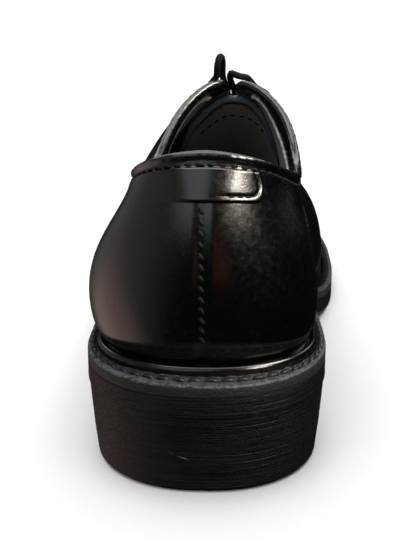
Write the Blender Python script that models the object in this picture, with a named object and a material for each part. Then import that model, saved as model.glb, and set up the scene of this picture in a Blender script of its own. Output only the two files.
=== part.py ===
"""Black leather lace-up work shoe for the left foot, built in the order in which it is made.

Sizes are in millimetres and become metres when a mesh is made. "at" runs forward from the back of the
heel to the toe, "up" is height over the floor, and side is +1 on the medial half and -1 on the lateral.
Row runs once round the upper by the rows of its table: 0 at the back seam, the last row at the toe,
negative on the lateral side.
"""

import math

import bmesh
import bpy
import numpy as np
from mathutils import Matrix, Vector

# Driving sizes
MM = 0.001
GAP = 0.3
LENGTH = 296.0
HEEL_HEIGHT = 24.5
OUTSOLE_THICKNESS = 6.0
WELT_THICKNESS = 3.4
INSOLE_THICKNESS = 5.4
UPPER_WALL = 1.8
QUARTER_STEP = 1.0
TONGUE_THICKNESS = 2.2
LACE_RADIUS = 1.2

# Sole plan: half widths either side of the axis, before the ends are rounded
SOLE_COLUMNS = ("at", "medial", "lateral")
SOLE_ROWS = (
    (0.0, 36.0, 36.0),
    (40.0, 37.0, 37.0),
    (80.0, 34.5, 37.5),
    (118.0, 32.5, 41.5),
    (160.0, 41.5, 50.5),
    (190.0, 46.5, 53.0),
    (225.0, 46.5, 50.5),
    (262.0, 43.5, 45.0),
    (296.0, 40.0, 39.0),
)
HEEL_ROUND = 42.0
TOE_ROUND = 68.0
ROUND_POWER = 2.3
TOE_SWING = 4.0
SWING_START = 120.0

# Sole profile: level heel seat, shank, flat spot of the forefoot and toe spring
SHANK_START = 74.0
FLAT_START = 188.0
FLAT_END = 214.0
TOE_SPRING = 12.0
SPRING_POWER = 1.8

# Heel block: how far each level stands in from the sole's edge
BREAST_AT = 76.0
BREAST_BOW = 2.5
BREAST_PARTS = (1.0, 0.66, 0.33)
HEEL_TURN_END = 0.4
HEEL_POINTS = 40
HEEL_COLUMNS = ("up", "inset")
HEEL_LEVELS = (
    (0.0, 3.5),
    (1.0, 2.6),
    (10.0, 1.5),
    (24.2, 0.3),
)

NO_INSET = (0.0, 0.0, 0.0)

# Feather line, where the upper meets the welt: inset from the sole's edge at the back, sides and toe
FEATHER = (12.5, 6.0, 9.0)
WELT_TUCK = 2.5
INSOLE_TUCK = 3.1
RIB_MIDDLE = 2.3
RIB_HALF_WIDTH = 1.5
RIB_HEIGHT = 2.0
RIB_POINTS = 5
RIM_BEVEL = 0.5

# Upper: one row for each profile from the welt to the topline. Girth is the share of the feather line,
# bulge and rise lead the wall off the welt, skew is bulge moved from the medial to the lateral side,
# lean and drop lead the wall to the top, and ease flattens the lateral side of the instep.
UPPER_COLUMNS = (
    *("row", "girth", "bulge", "skew", "rise"),
    *("top_at", "top_half", "top_up", "lean", "drop", "ease"),
)
UPPER_ROWS = (
    (0, 0.000, 9.0, 0.0, 24.0, 15.0, 0.0, 94.5, 7.0, 16.0, 1.00),
    (1, 0.090, 9.5, 2.0, 24.0, 20.5, 16.0, 91.5, 6.0, 15.0, 1.00),
    (2, 0.190, 10.0, 4.0, 25.0, 41.0, 24.0, 83.5, 2.5, 13.0, 1.00),
    (3, 0.285, 9.5, 5.0, 26.0, 67.0, 23.5, 81.5, 2.5, 14.0, 1.00),
    (4, 0.355, 8.5, 4.5, 28.0, 90.0, 19.5, 92.0, 6.0, 13.0, 0.94),
    (5, 0.405, 7.0, 3.0, 31.0, 107.0, 11.0, 101.5, 12.0, 8.0, 0.80),
    (6, 0.440, 6.5, 1.5, 34.0, 119.0, 4.0, 101.5, 17.0, 4.0, 0.72),
    (7, 0.480, 6.0, 1.0, 32.0, 148.0, 5.0, 86.0, 18.5, 4.0, 0.74),
    (8, 0.530, 5.0, 0.5, 27.0, 176.0, 6.5, 70.0, 20.0, 5.0, 0.85),
    (9, 0.620, 4.5, 0.0, 23.5, 188.0, 6.0, 65.0, 23.0, 5.5, 0.95),
    (10, 0.760, 4.5, 0.0, 23.0, 191.5, 3.5, 63.8, 32.0, 6.0, 1.00),
    (11, 0.900, 4.5, 0.0, 24.0, 192.5, 1.5, 63.4, 42.0, 7.0, 1.00),
    (12, 1.000, 4.5, 0.0, 24.0, 192.8, 0.0, 63.3, 46.0, 7.5, 1.00),
)
TOE_ROW = 12
CORNER_ROW = 6.0
QUARTER_EDGE_ROW = 8.0
STEP_FADE = 0.12
RIDGE_COLUMNS = ("at", "ridge")
RIDGE_ROWS = (
    (0.0, 0.0),
    (40.0, 2.0),
    (75.0, 5.0),
    (112.0, 5.5),
    (150.0, 6.0),
    (190.0, 6.0),
    (296.0, 4.0),
)

# Collar binding, a bead that sits on the topline from one throat corner round to the other
BEAD_RADIUS = 1.75
BEAD_SIDES = 8
BEAD_STEPS = 40

# Heel tab: reach along the collar in rows, depth down the wall and the roundness of its free corner
TAB_START_ROW = -0.16
TAB_END_ROW = 0.82
TAB_DEPTH = 11.2
TAB_THICKNESS = 1.2
TAB_ROUND_FROM = 0.72
TAB_ROUND_POWER = 2.6
TAB_TIP = 0.985
TAB_SECTIONS = 15
TAB_POINTS = 5

# Tongue: rows that it lies under, how far it reaches under each facing and how it runs on under the vamp
TONGUE_TOP_ROW = 6.3
TONGUE_END_ROW = 9.4
TONGUE_WING = 24.0
TONGUE_TOP_SHARE = 0.6
TONGUE_CLEARANCE = 0.45
TONGUE_ROUND = 0.14
TONGUE_TAIL = (0.0, 9.0, -3.6)
TONGUE_STEPS = 12
WING_STEPS = 5
THROAT_PARTS = (0.25, 0.5, 0.75)

# Eyelets along the facings and the lace that crosses between them
EYELET_COUNT = 5
EYELET_FIRST_ROW = 6.27
EYELET_ROW_STEP = 0.37
EYELET_INSET = 9.0
EYELET_RING = 2.9
EYELET_WIRE = 0.75
EYELET_LIFT = 1.2
EYELET_HOLE = 1.9
EYELET_SEGMENTS = 10
EYELET_WIRE_SEGMENTS = 5
PUNCH_DEPTH = 12.0
LACE_OVER_EYELET = 3.8
LACE_OVER_SHOULDER = 3.4
LACE_OVER_EDGE = 2.2
LACE_CROSSING_UP = 0.6
LACE_PARTS = (0.15, 0.3, 0.7, 0.85)
CROSSING_STEPS = 1

# Lace ends, as points across, at and up: from beside the top eyelets over the corners of the facings,
# and tucked in over the tongue
LACE_END_STEPS = 2
LACE_END_LATERAL = (
    (-3.6, 123.8, 100.9),
    (-1.9, 121.2, 103.1),
    (-0.3, 118.3, 105.4),
    (0.1, 115.2, 107.3),
    (0.15, 113.2, 109.4),
    (0.6, 113.0, 111.6),
    (1.3, 115.2, 113.0),
    (2.1, 118.4, 112.0),
    (2.3, 121.5, 109.1),
    (2.2, 124.1, 105.3),
    (2.9, 126.5, 101.6),
    (3.8, 128.8, 98.0),
    (3.9, 131.2, 95.2),
)
LACE_END_MEDIAL = (
    (14.4, 124.6, 100.9),
    (12.7, 121.6, 103.0),
    (11.0, 118.5, 105.2),
    (10.0, 115.9, 105.9),
    (8.8, 114.2, 106.3),
    (7.2, 113.9, 106.8),
    (5.7, 115.4, 107.2),
    (4.9, 118.4, 106.4),
    (4.9, 121.8, 104.1),
    (5.7, 124.6, 101.5),
    (6.4, 127.4, 98.8),
    (6.7, 129.4, 96.8),
    (6.8, 131.2, 95.2),
)

# Mesh fineness
SECTION_COLUMNS = ("from_row", "to_row", "steps")
SECTION_ROWS = (
    (0, 2, 10),
    (2, 9, 22),
    (9, 12, 11),
)
RISE_STEPS = 10
PLATE_STEPS = 44
PLATE_ACROSS = 2
PLATE_END = 0.012
EDGE_NEAR = 0.02
EDGE_CLEAR = 0.15
RUN_POINTS = 400
TURN_NUDGE = 0.002
ROW_NUDGE = 0.02
RISE_NUDGE = 0.002
LOWEST_RISE = 0.3
RISE_POINTS = 141
SHARP_ANGLE = math.radians(40)
WELD_DISTANCE = 1e-6


def spline(knots, values, level_ends):
    """Smooth cubic curve through the rows of a table, with level or free ends."""
    knots = np.array(knots)
    values = np.array(values)
    step = np.diff(knots)
    slope = np.diff(values) / step
    count = len(knots)
    matrix = np.eye(count)
    right = np.zeros(count)
    for i in range(1, count - 1):
        matrix[i, i - 1 : i + 2] = step[i - 1], 2 * (step[i - 1] + step[i]), step[i]
        right[i] = 6 * (slope[i] - slope[i - 1])
    if level_ends:
        matrix[0, :2] = 2 * step[0], step[0]
        matrix[-1, -2:] = step[-1], 2 * step[-1]
        right[0] = 6 * slope[0]
        right[-1] = -6 * slope[-1]
    bend = np.linalg.solve(matrix, right)

    def value(at):
        i = min(max(int(np.searchsorted(knots, at)) - 1, 0), count - 2)
        ahead = knots[i + 1] - at
        behind = at - knots[i]
        start = values[i] / step[i] - bend[i] * step[i] / 6
        end = values[i + 1] / step[i] - bend[i + 1] * step[i] / 6
        bow = (bend[i] * ahead**3 + bend[i + 1] * behind**3) / (6 * step[i])
        return bow + start * ahead + end * behind

    return value


def named_rows(names, rows):
    """The rows of a table, each with its values under the names of the columns."""
    return [dict(zip(names, row)) for row in rows]


def table_curves(names, rows, level=()):
    """A curve for each named column of a table, over its first column."""
    columns = dict(zip(names, zip(*rows)))
    knots = columns[names[0]]
    return {name: spline(knots, columns[name], name in level) for name in names[1:]}


SOLE = table_curves(SOLE_COLUMNS, SOLE_ROWS)
RIDGE = table_curves(RIDGE_COLUMNS, RIDGE_ROWS, level=("ridge",))
UPPER = table_curves(
    UPPER_COLUMNS,
    UPPER_ROWS,
    level=("bulge", "rise", "top_at", "top_up", "lean", "drop", "ease"),
)


def smooth(part):
    """Eases from 0 to 1 with level ends."""
    part = min(max(part, 0.0), 1.0)
    return part * part * (3 - 2 * part)


def rounding(distance, depth):
    """How much of the full width is left at a distance from a rounded end."""
    inside = min(max(1 - distance / depth, 0.0), 1.0)
    return (1 - inside**ROUND_POWER) ** (1 / ROUND_POWER)


def edge(side, turn, inset):
    """Plan point on the sole's outline, inset from it. Turn runs from 0 at the heel to 1 at the toe."""
    back, sides, toe = inset
    end = LENGTH - toe
    at = back + (end - back) * (1 - math.cos(math.pi * turn)) / 2
    half = SOLE["medial" if side > 0 else "lateral"](at) - sides
    half *= rounding(at - back, HEEL_ROUND - back) * rounding(end - at, TOE_ROUND - toe)
    axis = TOE_SWING * smooth((at - SWING_START) / (LENGTH - SWING_START))
    return np.array((axis + side * half, at))


def sole_under(at):
    """Height of the outsole's lower face."""
    shank = HEEL_HEIGHT * (1 - smooth((at - SHANK_START) / (FLAT_START - SHANK_START)))
    spring = max(at - FLAT_END, 0.0) / (LENGTH - FLAT_END)
    return shank + TOE_SPRING * spring**SPRING_POWER


def sole_top(at):
    return sole_under(at) + OUTSOLE_THICKNESS


def welt_top(at):
    return sole_top(at) + GAP + WELT_THICKNESS


def edge_run(side):
    """Share of the feather line's length that each turn has come, on one side."""
    turns = np.linspace(0.0, 1.0, RUN_POINTS)
    points = np.array([edge(side, turn, FEATHER) for turn in turns])
    steps = np.linalg.norm(np.diff(points, axis=0), axis=1)
    run = np.concatenate(([0.0], np.cumsum(steps)))
    return turns, run / run[-1]


EDGE_RUN = {1: edge_run(1), -1: edge_run(-1)}


def feather(side, turn):
    """Feather line's plan point and outward normal."""
    before = edge(side, max(turn - TURN_NUDGE, 0.0), FEATHER)
    after = edge(side, min(turn + TURN_NUDGE, 1.0), FEATHER)
    along = (after - before) / np.linalg.norm(after - before)
    return edge(side, turn, FEATHER), side * np.array((along[1], -along[0]))


def side_and_turn(row):
    """Side of the shoe and turn along its feather line at a row."""
    side = 1 if row >= 0 else -1
    turns, run = EDGE_RUN[side]
    return side, float(np.interp(UPPER["girth"](abs(row)), run, turns))


def lasted(row, rise):
    """Point of the last's surface: row round the shoe, rise from 0 at the welt to 1 at the topline."""
    row = (row + TOE_ROW) % (2 * TOE_ROW) - TOE_ROW
    side, turn = side_and_turn(row)
    size = {name: curve(abs(row)) for name, curve in UPPER.items()}
    foot, normal = feather(side, turn)
    low = np.array((*foot, welt_top(foot[1]) + GAP))
    ridge = RIDGE["ridge"](size["top_at"])
    top = np.array((ridge + side * size["top_half"], size["top_at"], size["top_up"]))
    out = (low - top)[:2] / np.linalg.norm((low - top)[:2])
    bulge = size["bulge"] - side * size["skew"]
    ease = size["ease"] if side < 0 else 1.0
    over_foot = low + np.array((*normal * bulge, size["rise"] * ease))
    under_top = top + np.array((*out * size["lean"] * ease, -size["drop"]))
    left = 1 - rise
    return left**3 * low + 3 * left**2 * rise * over_foot + 3 * left * rise**2 * under_top + rise**3 * top


def frame_at(row, rise):
    """Point of the last's surface, its outward normal and the unit direction up the wall."""
    level = min(max(rise, RISE_NUDGE), 1 - RISE_NUDGE)
    around = lasted(row + ROW_NUDGE, level) - lasted(row - ROW_NUDGE, level)
    climb = lasted(row, level + RISE_NUDGE) - lasted(row, level - RISE_NUDGE)
    normal = np.cross(around, climb)
    return lasted(row, rise), normal / np.linalg.norm(normal), climb / np.linalg.norm(climb)


def surface(row, rise, lift=0.0):
    """Point of the last's surface moved out along its normal by lift."""
    point, normal, _ = frame_at(row, rise)
    return point + lift * normal


def rise_below(row, distance):
    """Rise of the point that lies a distance down the wall from the topline."""
    rises = np.linspace(1.0, LOWEST_RISE, RISE_POINTS)
    points = np.array([lasted(row, rise) for rise in rises])
    steps = np.linalg.norm(np.diff(points, axis=0), axis=1)
    run = np.concatenate(([0.0], np.cumsum(steps)))
    return float(np.interp(distance, run, rises))


def quarter_lift(row, rise):
    """The quarters lie over the vamp, and the step fades out at the welt."""
    return QUARTER_STEP * smooth(rise / STEP_FADE) if abs(row) < QUARTER_EDGE_ROW else 0.0


def spread(start, end, count):
    return np.linspace(start, end, count).tolist()


# The axis of the heel stands off the middle of the box that holds the shoe
OUTLINE_X = [edge(side, turn, NO_INSET)[0] for side in (1, -1) for turn in spread(0.0, 1.0, RUN_POINTS)]
CENTRE = np.array(((min(OUTLINE_X) + max(OUTLINE_X)) / 2, LENGTH / 2, 0.0))


def to_metres(point):
    return tuple((np.array(point) - CENTRE) * MM)


def clear_scene():
    for thing in list(bpy.data.objects):
        bpy.data.objects.remove(thing, do_unlink=True)


def new_collection(name):
    group = bpy.data.collections.new(name)
    bpy.context.scene.collection.children.link(group)
    return group


def new_material(name, colour, roughness, metallic=0.0):
    material = bpy.data.materials.new(name)
    material.use_nodes = True
    shader = material.node_tree.nodes["Principled BSDF"]
    shader.inputs["Base Color"].default_value = (*colour, 1.0)
    shader.inputs["Roughness"].default_value = roughness
    shader.inputs["Metallic"].default_value = metallic
    return material


def new_object(name, mesh, material, group):
    thing = bpy.data.objects.new(name, mesh)
    thing.data.materials.append(material)
    group.objects.link(thing)
    return thing


def loft(name, sections, material, group, ring=False):
    """Skin over closed sections with the same number of points. An open loft gets strip caps.

    The first half of a section runs along one side and the second half comes back along the other.
    """
    mesh = bmesh.new()
    rows = [[mesh.verts.new(to_metres(point)) for point in section] for section in sections]
    count = len(rows[0])
    pairs = list(zip(rows, rows[1:]))
    if ring:
        pairs.append((rows[-1], rows[0]))
    for here, there in pairs:
        for k in range(count):
            after = (k + 1) % count
            mesh.faces.new((here[k], here[after], there[after], there[k]))
    if not ring:
        for row in (rows[0], rows[-1]):
            for k in range(count // 2 - 1):
                mesh.faces.new((row[k], row[k + 1], row[count - 2 - k], row[count - 1 - k]))
    bmesh.ops.recalc_face_normals(mesh, faces=mesh.faces)
    data = bpy.data.meshes.new(name)
    mesh.to_mesh(data)
    mesh.free()
    data.shade_smooth()
    data.set_sharp_from_angle(angle=SHARP_ANGLE)
    return new_object(name, data, material, group)


def sole_edge(side, turn):
    return edge(side, turn, NO_INSET)


def insole_edge(side, turn):
    foot, normal = feather(side, turn)
    return foot - normal * INSOLE_TUCK


def plate_sections(outline, low, high):
    """Sections of a sole-shaped plate, one for each station from heel to toe."""
    sections = []
    for turn in spread(PLATE_END, 1 - PLATE_END, PLATE_STEPS + 1):
        lateral = outline(-1, turn)
        medial = outline(1, turn)
        across = [lateral + (medial - lateral) * part for part in spread(0.0, 1.0, PLATE_ACROSS + 1)]
        under = [(x, at, low(at)) for x, at in across]
        over = [(x, at, high(at)) for x, at in reversed(across)]
        sections.append(under + over)
    return sections


def make_heel_block(material, group):
    """Block under the heel seat, tapering a little to its walking face, with a hollow breast."""
    sections = []
    reach = spread(PLATE_END, HEEL_TURN_END, HEEL_POINTS)
    for level in named_rows(HEEL_COLUMNS, HEEL_LEVELS):
        inset = level["inset"]
        inside = (inset, inset, 0.0)
        turns = [turn for turn in reach if edge(1, turn, inside)[1] < BREAST_AT]
        half = [[edge(side, turn, inside) for turn in turns] for side in (1, -1)]
        corner = [edge(side, turns[-1], inside) for side in (1, -1)]
        for k in range(2):
            for part in BREAST_PARTS:
                bow = BREAST_BOW * (1 - part * part)
                half[k].append(np.array((corner[k][0] * part, BREAST_AT + inset - bow)))
        sections.append([(x, at, level["up"]) for x, at in half[0] + half[1][::-1]])
    return loft("heel_block", sections, material, group)


def make_outsole(material, group):
    sections = plate_sections(sole_edge, sole_under, sole_top)
    return loft("outsole", sections, material, group)


def make_insole(material, group):
    sections = plate_sections(
        insole_edge,
        lambda at: sole_top(at) + GAP,
        lambda at: sole_top(at) + GAP + INSOLE_THICKNESS,
    )
    return loft("insole", sections, material, group)


def section_rows():
    """Rows at which welt and upper have their sections, once round the shoe from toe to toe."""
    half = []
    for stretch in named_rows(SECTION_COLUMNS, SECTION_ROWS):
        half += spread(stretch["from_row"], stretch["to_row"], stretch["steps"] + 1)[:-1]
    return [-row for row in reversed(half[1:])] + half + [float(TOE_ROW)]


def upper_rows():
    """The same rows, with a close pair at each side of the quarters' front edges."""
    rows = [row for row in section_rows() if abs(abs(row) - QUARTER_EDGE_ROW) > EDGE_CLEAR]
    for side in (1, -1):
        rows += [side * (QUARTER_EDGE_ROW - EDGE_NEAR), side * (QUARTER_EDGE_ROW + EDGE_NEAR)]
    return sorted(rows)


def make_welt(material, group):
    """Strip round the sole's edge with a rib that stands against the upper."""
    sections = []
    for row in section_rows():
        side, turn = side_and_turn(row)
        foot, normal = feather(side, turn)
        rim = sole_edge(side, turn)
        bevel = rim - normal * RIM_BEVEL
        section = [(foot - normal * WELT_TUCK, WELT_THICKNESS)]
        for angle in spread(math.pi, 0.0, RIB_POINTS):
            out = RIB_MIDDLE + RIB_HALF_WIDTH * math.cos(angle)
            section.append((foot + normal * out, WELT_THICKNESS + RIB_HEIGHT * math.sin(angle)))
        section.append((bevel, WELT_THICKNESS))
        section.append((rim, WELT_THICKNESS - RIM_BEVEL))
        section.append((rim, 0.0))
        section.append((foot - normal * WELT_TUCK, 0.0))
        sections.append([(*plan, sole_top(plan[1]) + GAP + up) for plan, up in section])
    return loft("welt", sections, material, group, ring=True)


def make_upper(material, group):
    """One wall over the last, open at the collar, down the throat and underneath."""
    sections = []
    rises = spread(0.0, 1.0, RISE_STEPS + 1)
    for row in upper_rows():
        outer = [surface(row, rise, quarter_lift(row, rise)) for rise in rises]
        inner = [surface(row, rise, -UPPER_WALL) for rise in rises]
        inner[0][2] = outer[0][2]
        sections.append(outer + inner[::-1])
    return loft("upper", sections, material, group, ring=True)


def make_collar_binding(material, group):
    """Rolled bead on the topline, round the collar from corner to corner of the throat."""
    sections = []
    for row in spread(-CORNER_ROW, CORNER_ROW, BEAD_STEPS + 1):
        point, normal, climb = frame_at(row, 1.0)
        middle = point + normal * (QUARTER_STEP - UPPER_WALL) / 2 + climb * (BEAD_RADIUS + GAP)
        angles = [2 * math.pi * k / BEAD_SIDES for k in range(BEAD_SIDES)]
        ring = [middle + BEAD_RADIUS * (normal * math.cos(a) + climb * math.sin(a)) for a in angles]
        sections.append(ring)
    return loft("collar_binding", sections, material, group)


def make_heel_tab(material, group):
    """The lateral quarter's tab, laid over the top of the back seam and round to the medial side."""
    low = QUARTER_STEP + GAP
    sections = []
    for part in spread(0.0, TAB_TIP, TAB_SECTIONS):
        row = TAB_START_ROW + (TAB_END_ROW - TAB_START_ROW) * part
        past = max(part - TAB_ROUND_FROM, 0.0) / (1 - TAB_ROUND_FROM)
        depth = TAB_DEPTH * (1 - past**TAB_ROUND_POWER) ** (1 / TAB_ROUND_POWER)
        rises = [rise_below(row, depth * share) for share in spread(0.0, 1.0, TAB_POINTS)]
        outer = [surface(row, rise, low + TAB_THICKNESS) for rise in rises]
        inner = [surface(row, rise, low) for rise in rises]
        sections.append(outer + inner[::-1])
    return loft("heel_tab", sections, material, group)


def tongue_line(row, wing, depth):
    """Line across the tongue at a depth under the last's surface, from the lateral to the medial wing."""
    wings = {}
    for side in (-1, 1):
        reach = [rise_below(side * row, wing * share) for share in spread(1.0, 0.0, WING_STEPS)]
        wings[side] = [surface(side * row, rise, -depth) for rise in reach]
    start, end = wings[-1][-1], wings[1][-1]
    pull = np.linalg.norm(end - start) / 3
    lean = {side: frame_at(side * row, 1.0)[2] * pull for side in (-1, 1)}
    bridge = []
    for part in THROAT_PARTS:
        left = 1 - part
        point = left**3 * start + 3 * left**2 * part * (start + lean[-1])
        bridge.append(point + 3 * left * part**2 * (end + lean[1]) + part**3 * end)
    return wings[-1] + bridge + wings[1][::-1]


def make_tongue(material, group):
    """Broad tongue close under both facings, with rounded top corners and its tail under the vamp."""
    outside = UPPER_WALL + TONGUE_CLEARANCE
    sections = []
    for part in spread(0.0, 1.0, TONGUE_STEPS + 1):
        row = TONGUE_TOP_ROW + (TONGUE_END_ROW - TONGUE_TOP_ROW) * part
        share = TONGUE_TOP_SHARE + (1 - TONGUE_TOP_SHARE) * rounding(part, TONGUE_ROUND)
        wing = TONGUE_WING * share
        outer = tongue_line(row, wing, outside)
        inner = tongue_line(row, wing, outside + TONGUE_THICKNESS)
        sections.append(outer + inner[::-1])
    sections.append([point + np.array(TONGUE_TAIL) for point in sections[-1]])
    return loft("tongue", sections, material, group)


def eyelet_row(place):
    return EYELET_FIRST_ROW + EYELET_ROW_STEP * place


def eyelet_seat(side, place):
    """Point on a facing where an eyelet sits, with the facing's normal."""
    row = side * eyelet_row(place)
    point, normal, _ = frame_at(row, rise_below(row, EYELET_INSET))
    return point + normal * QUARTER_STEP, normal


def stand_on(thing, point, normal):
    """Places an object on a surface point with its Z axis along the normal."""
    thing.location = to_metres(point)
    thing.rotation_mode = "QUATERNION"
    thing.rotation_quaternion = Vector(normal).to_track_quat("Z", "Y")


def make_eyelets(material, group):
    """Plain rolled rings along both facings."""
    for side, name in ((-1, "lateral"), (1, "medial")):
        for place in range(EYELET_COUNT):
            bpy.ops.mesh.primitive_torus_add(
                major_radius=EYELET_RING * MM,
                minor_radius=EYELET_WIRE * MM,
                major_segments=EYELET_SEGMENTS,
                minor_segments=EYELET_WIRE_SEGMENTS,
            )
            ring = bpy.context.object
            ring.name = f"eyelet_{name}_{place + 1}"
            ring.data.materials.append(material)
            ring.data.shade_smooth()
            point, normal = eyelet_seat(side, place)
            stand_on(ring, point + normal * EYELET_LIFT, normal)
            for holder in list(ring.users_collection):
                holder.objects.unlink(ring)
            group.objects.link(ring)


def punch_eyelets(upper, group):
    """Holes through the facings under the eyelets."""
    mesh = bmesh.new()
    for side in (-1, 1):
        for place in range(EYELET_COUNT):
            point, normal = eyelet_seat(side, place)
            turn = Vector(normal).to_track_quat("Z", "Y").to_matrix().to_4x4()
            bmesh.ops.create_cone(
                mesh,
                cap_ends=True,
                segments=EYELET_SEGMENTS,
                radius1=EYELET_HOLE * MM,
                radius2=EYELET_HOLE * MM,
                depth=PUNCH_DEPTH * MM,
                matrix=Matrix.Translation(to_metres(point)) @ turn,
            )
    data = bpy.data.meshes.new("eyelet_punch")
    mesh.to_mesh(data)
    mesh.free()
    punch = bpy.data.objects.new("eyelet_punch", data)
    punch.hide_render = True
    punch.display_type = "WIRE"
    group.objects.link(punch)
    cut = upper.modifiers.new("eyelet_holes", "BOOLEAN")
    cut.operation = "DIFFERENCE"
    cut.object = punch


def smooth_path(points, steps):
    """Points along a smooth curve through the given ones."""
    order = list(range(len(points)))
    curves = [spline(order, values, False) for values in zip(*points)]
    count = steps * (len(points) - 1)
    return [np.array([curve(k / steps) for curve in curves]) for k in range(count + 1)]


def tube(name, path, material, group):
    """Closed tube of lace along a path."""
    curve = bpy.data.curves.new(name, "CURVE")
    curve.dimensions = "3D"
    curve.bevel_depth = LACE_RADIUS * MM
    curve.bevel_resolution = 2
    curve.use_fill_caps = True
    run = curve.splines.new("POLY")
    run.points.add(len(path) - 1)
    for place, point in zip(run.points, path):
        place.co = (*to_metres(point), 1.0)
    return new_object(name, curve, material, group)


def as_mesh(thing, material, group):
    """Replaces a tube by its mesh with the caps welded on."""
    bpy.context.view_layer.update()
    ready = thing.evaluated_get(bpy.context.evaluated_depsgraph_get())
    data = bpy.data.meshes.new_from_object(ready)
    mesh = bmesh.new()
    mesh.from_mesh(data)
    bmesh.ops.remove_doubles(mesh, verts=mesh.verts, dist=WELD_DISTANCE)
    bmesh.ops.recalc_face_normals(mesh, faces=mesh.faces)
    mesh.to_mesh(data)
    mesh.free()
    name = thing.name
    bpy.data.objects.remove(thing, do_unlink=True)
    data.materials.clear()
    return new_object(name, data, material, group)


def lace_over(side, row, inset, height):
    """Point at a height over a facing, an inset from its edge."""
    row = side * row
    return surface(row, rise_below(row, inset), QUARTER_STEP + height)


def lace_over_throat(side, start_row, end_row):
    """Points of the lace over one facing's edge, the middle of the throat and the other edge."""
    rows = [start_row + (end_row - start_row) * part for part in LACE_PARTS]
    points = [
        lace_over(side, rows[0], EYELET_INSET / 2, LACE_OVER_SHOULDER),
        lace_over(side, rows[1], 0.0, LACE_OVER_EDGE),
        lace_over(-side, rows[2], 0.0, LACE_OVER_EDGE),
        lace_over(-side, rows[3], EYELET_INSET / 2, LACE_OVER_SHOULDER),
    ]
    middle = (points[1] + points[2]) / 2 + np.array((0.0, 0.0, LACE_CROSSING_UP))
    return points[:2] + [middle] + points[2:]


def lace_zigzag(side):
    """Way of the lace down the throat, from one top eyelet to the bottom row."""
    points = [lace_over(side, eyelet_row(0), EYELET_INSET, LACE_OVER_EYELET)]
    for place in range(EYELET_COUNT - 1):
        points += lace_over_throat(side, eyelet_row(place), eyelet_row(place + 1))
        side = -side
        points.append(lace_over(side, eyelet_row(place + 1), EYELET_INSET, LACE_OVER_EYELET))
    return points


def lace_bar(side):
    """Way of the lace across the bottom pair of eyelets, after the zigzag."""
    row = eyelet_row(EYELET_COUNT - 1)
    return lace_over_throat(side, row, row) + [lace_over(-side, row, EYELET_INSET, LACE_OVER_EYELET)]


def make_lace_crossings(material, shoe, cutters):
    """The lace over the throat: two zigzag strands and the bottom bar, joined where they meet."""
    way = smooth_path(lace_zigzag(-1) + lace_bar(-1), CROSSING_STEPS)
    first = as_mesh(tube("lace_crossings", way, material, shoe), material, shoe)
    way = smooth_path(lace_zigzag(1), CROSSING_STEPS)
    second = as_mesh(tube("lace_return", way, material, cutters), material, cutters)
    second.hide_render = True
    second.display_type = "WIRE"
    join = first.modifiers.new("join_strands", "BOOLEAN")
    join.operation = "UNION"
    join.object = second
    return first


def make_lace_ends(material, group):
    """The two free ends, each one smooth run."""
    for name, route in (("lace_end_lateral", LACE_END_LATERAL), ("lace_end_medial", LACE_END_MEDIAL)):
        tube(name, smooth_path(route, LACE_END_STEPS), material, group)


def main():
    clear_scene()
    shoe = new_collection("work_shoe")
    cutters = new_collection("cutters")
    black_leather = new_material("black_leather", (0.012, 0.012, 0.014), 0.28)
    sole_rubber = new_material("sole_rubber", (0.02, 0.02, 0.021), 0.75)
    heel_rubber = new_material("heel_rubber", (0.018, 0.018, 0.018), 0.8)
    welt_leather = new_material("welt_leather", (0.02, 0.021, 0.024), 0.5)
    insole_leather = new_material("insole_leather", (0.03, 0.026, 0.022), 0.7)
    binding_leather = new_material("binding_leather", (0.014, 0.014, 0.016), 0.25)
    tongue_leather = new_material("tongue_leather", (0.018, 0.016, 0.015), 0.5)
    black_enamel = new_material("black_enamel", (0.015, 0.015, 0.015), 0.35, 0.6)
    lace_cotton = new_material("lace_cotton", (0.01, 0.01, 0.01), 0.9)
    make_heel_block(heel_rubber, shoe)
    make_outsole(sole_rubber, shoe)
    make_welt(welt_leather, shoe)
    make_insole(insole_leather, shoe)
    upper = make_upper(black_leather, shoe)
    punch_eyelets(upper, cutters)
    make_heel_tab(black_leather, shoe)
    make_collar_binding(binding_leather, shoe)
    make_tongue(tongue_leather, shoe)
    make_eyelets(black_enamel, shoe)
    make_lace_crossings(lace_cotton, shoe, cutters)
    make_lace_ends(lace_cotton, shoe)


main()
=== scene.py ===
"""Black leather work shoe for the left foot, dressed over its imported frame.

Sizes are in millimetres and become metres when a mesh is made. "at" runs forward from the back of the
heel to the toe, "up" is height over the floor, and side is +1 on the medial half and -1 on the lateral.
"""

import math

import bmesh
import bpy
import numpy as np
from mathutils import Matrix, Vector


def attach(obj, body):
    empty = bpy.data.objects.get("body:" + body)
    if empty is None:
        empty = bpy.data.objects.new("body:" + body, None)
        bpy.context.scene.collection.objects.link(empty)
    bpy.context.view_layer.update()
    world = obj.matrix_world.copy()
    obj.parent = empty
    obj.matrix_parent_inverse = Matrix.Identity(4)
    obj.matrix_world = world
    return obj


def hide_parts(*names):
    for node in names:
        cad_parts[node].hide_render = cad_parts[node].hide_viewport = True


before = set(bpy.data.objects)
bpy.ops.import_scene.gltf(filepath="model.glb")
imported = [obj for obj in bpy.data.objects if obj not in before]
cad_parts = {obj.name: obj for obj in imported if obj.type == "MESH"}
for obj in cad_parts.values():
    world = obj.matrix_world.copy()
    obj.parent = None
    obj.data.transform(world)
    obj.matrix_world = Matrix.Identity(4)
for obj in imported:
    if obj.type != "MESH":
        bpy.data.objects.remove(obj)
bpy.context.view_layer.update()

# Heel block. A solid rubber lift under the heel seat, moulded in one piece and trimmed on a brush with
# the sole's edge, so that its side has fine level lines. It is glued and nailed to the outsole.
MM = 0.001
GAP = 0.3
LENGTH = 296.0
SOLE_COLUMNS = ("at", "medial", "lateral")
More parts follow.
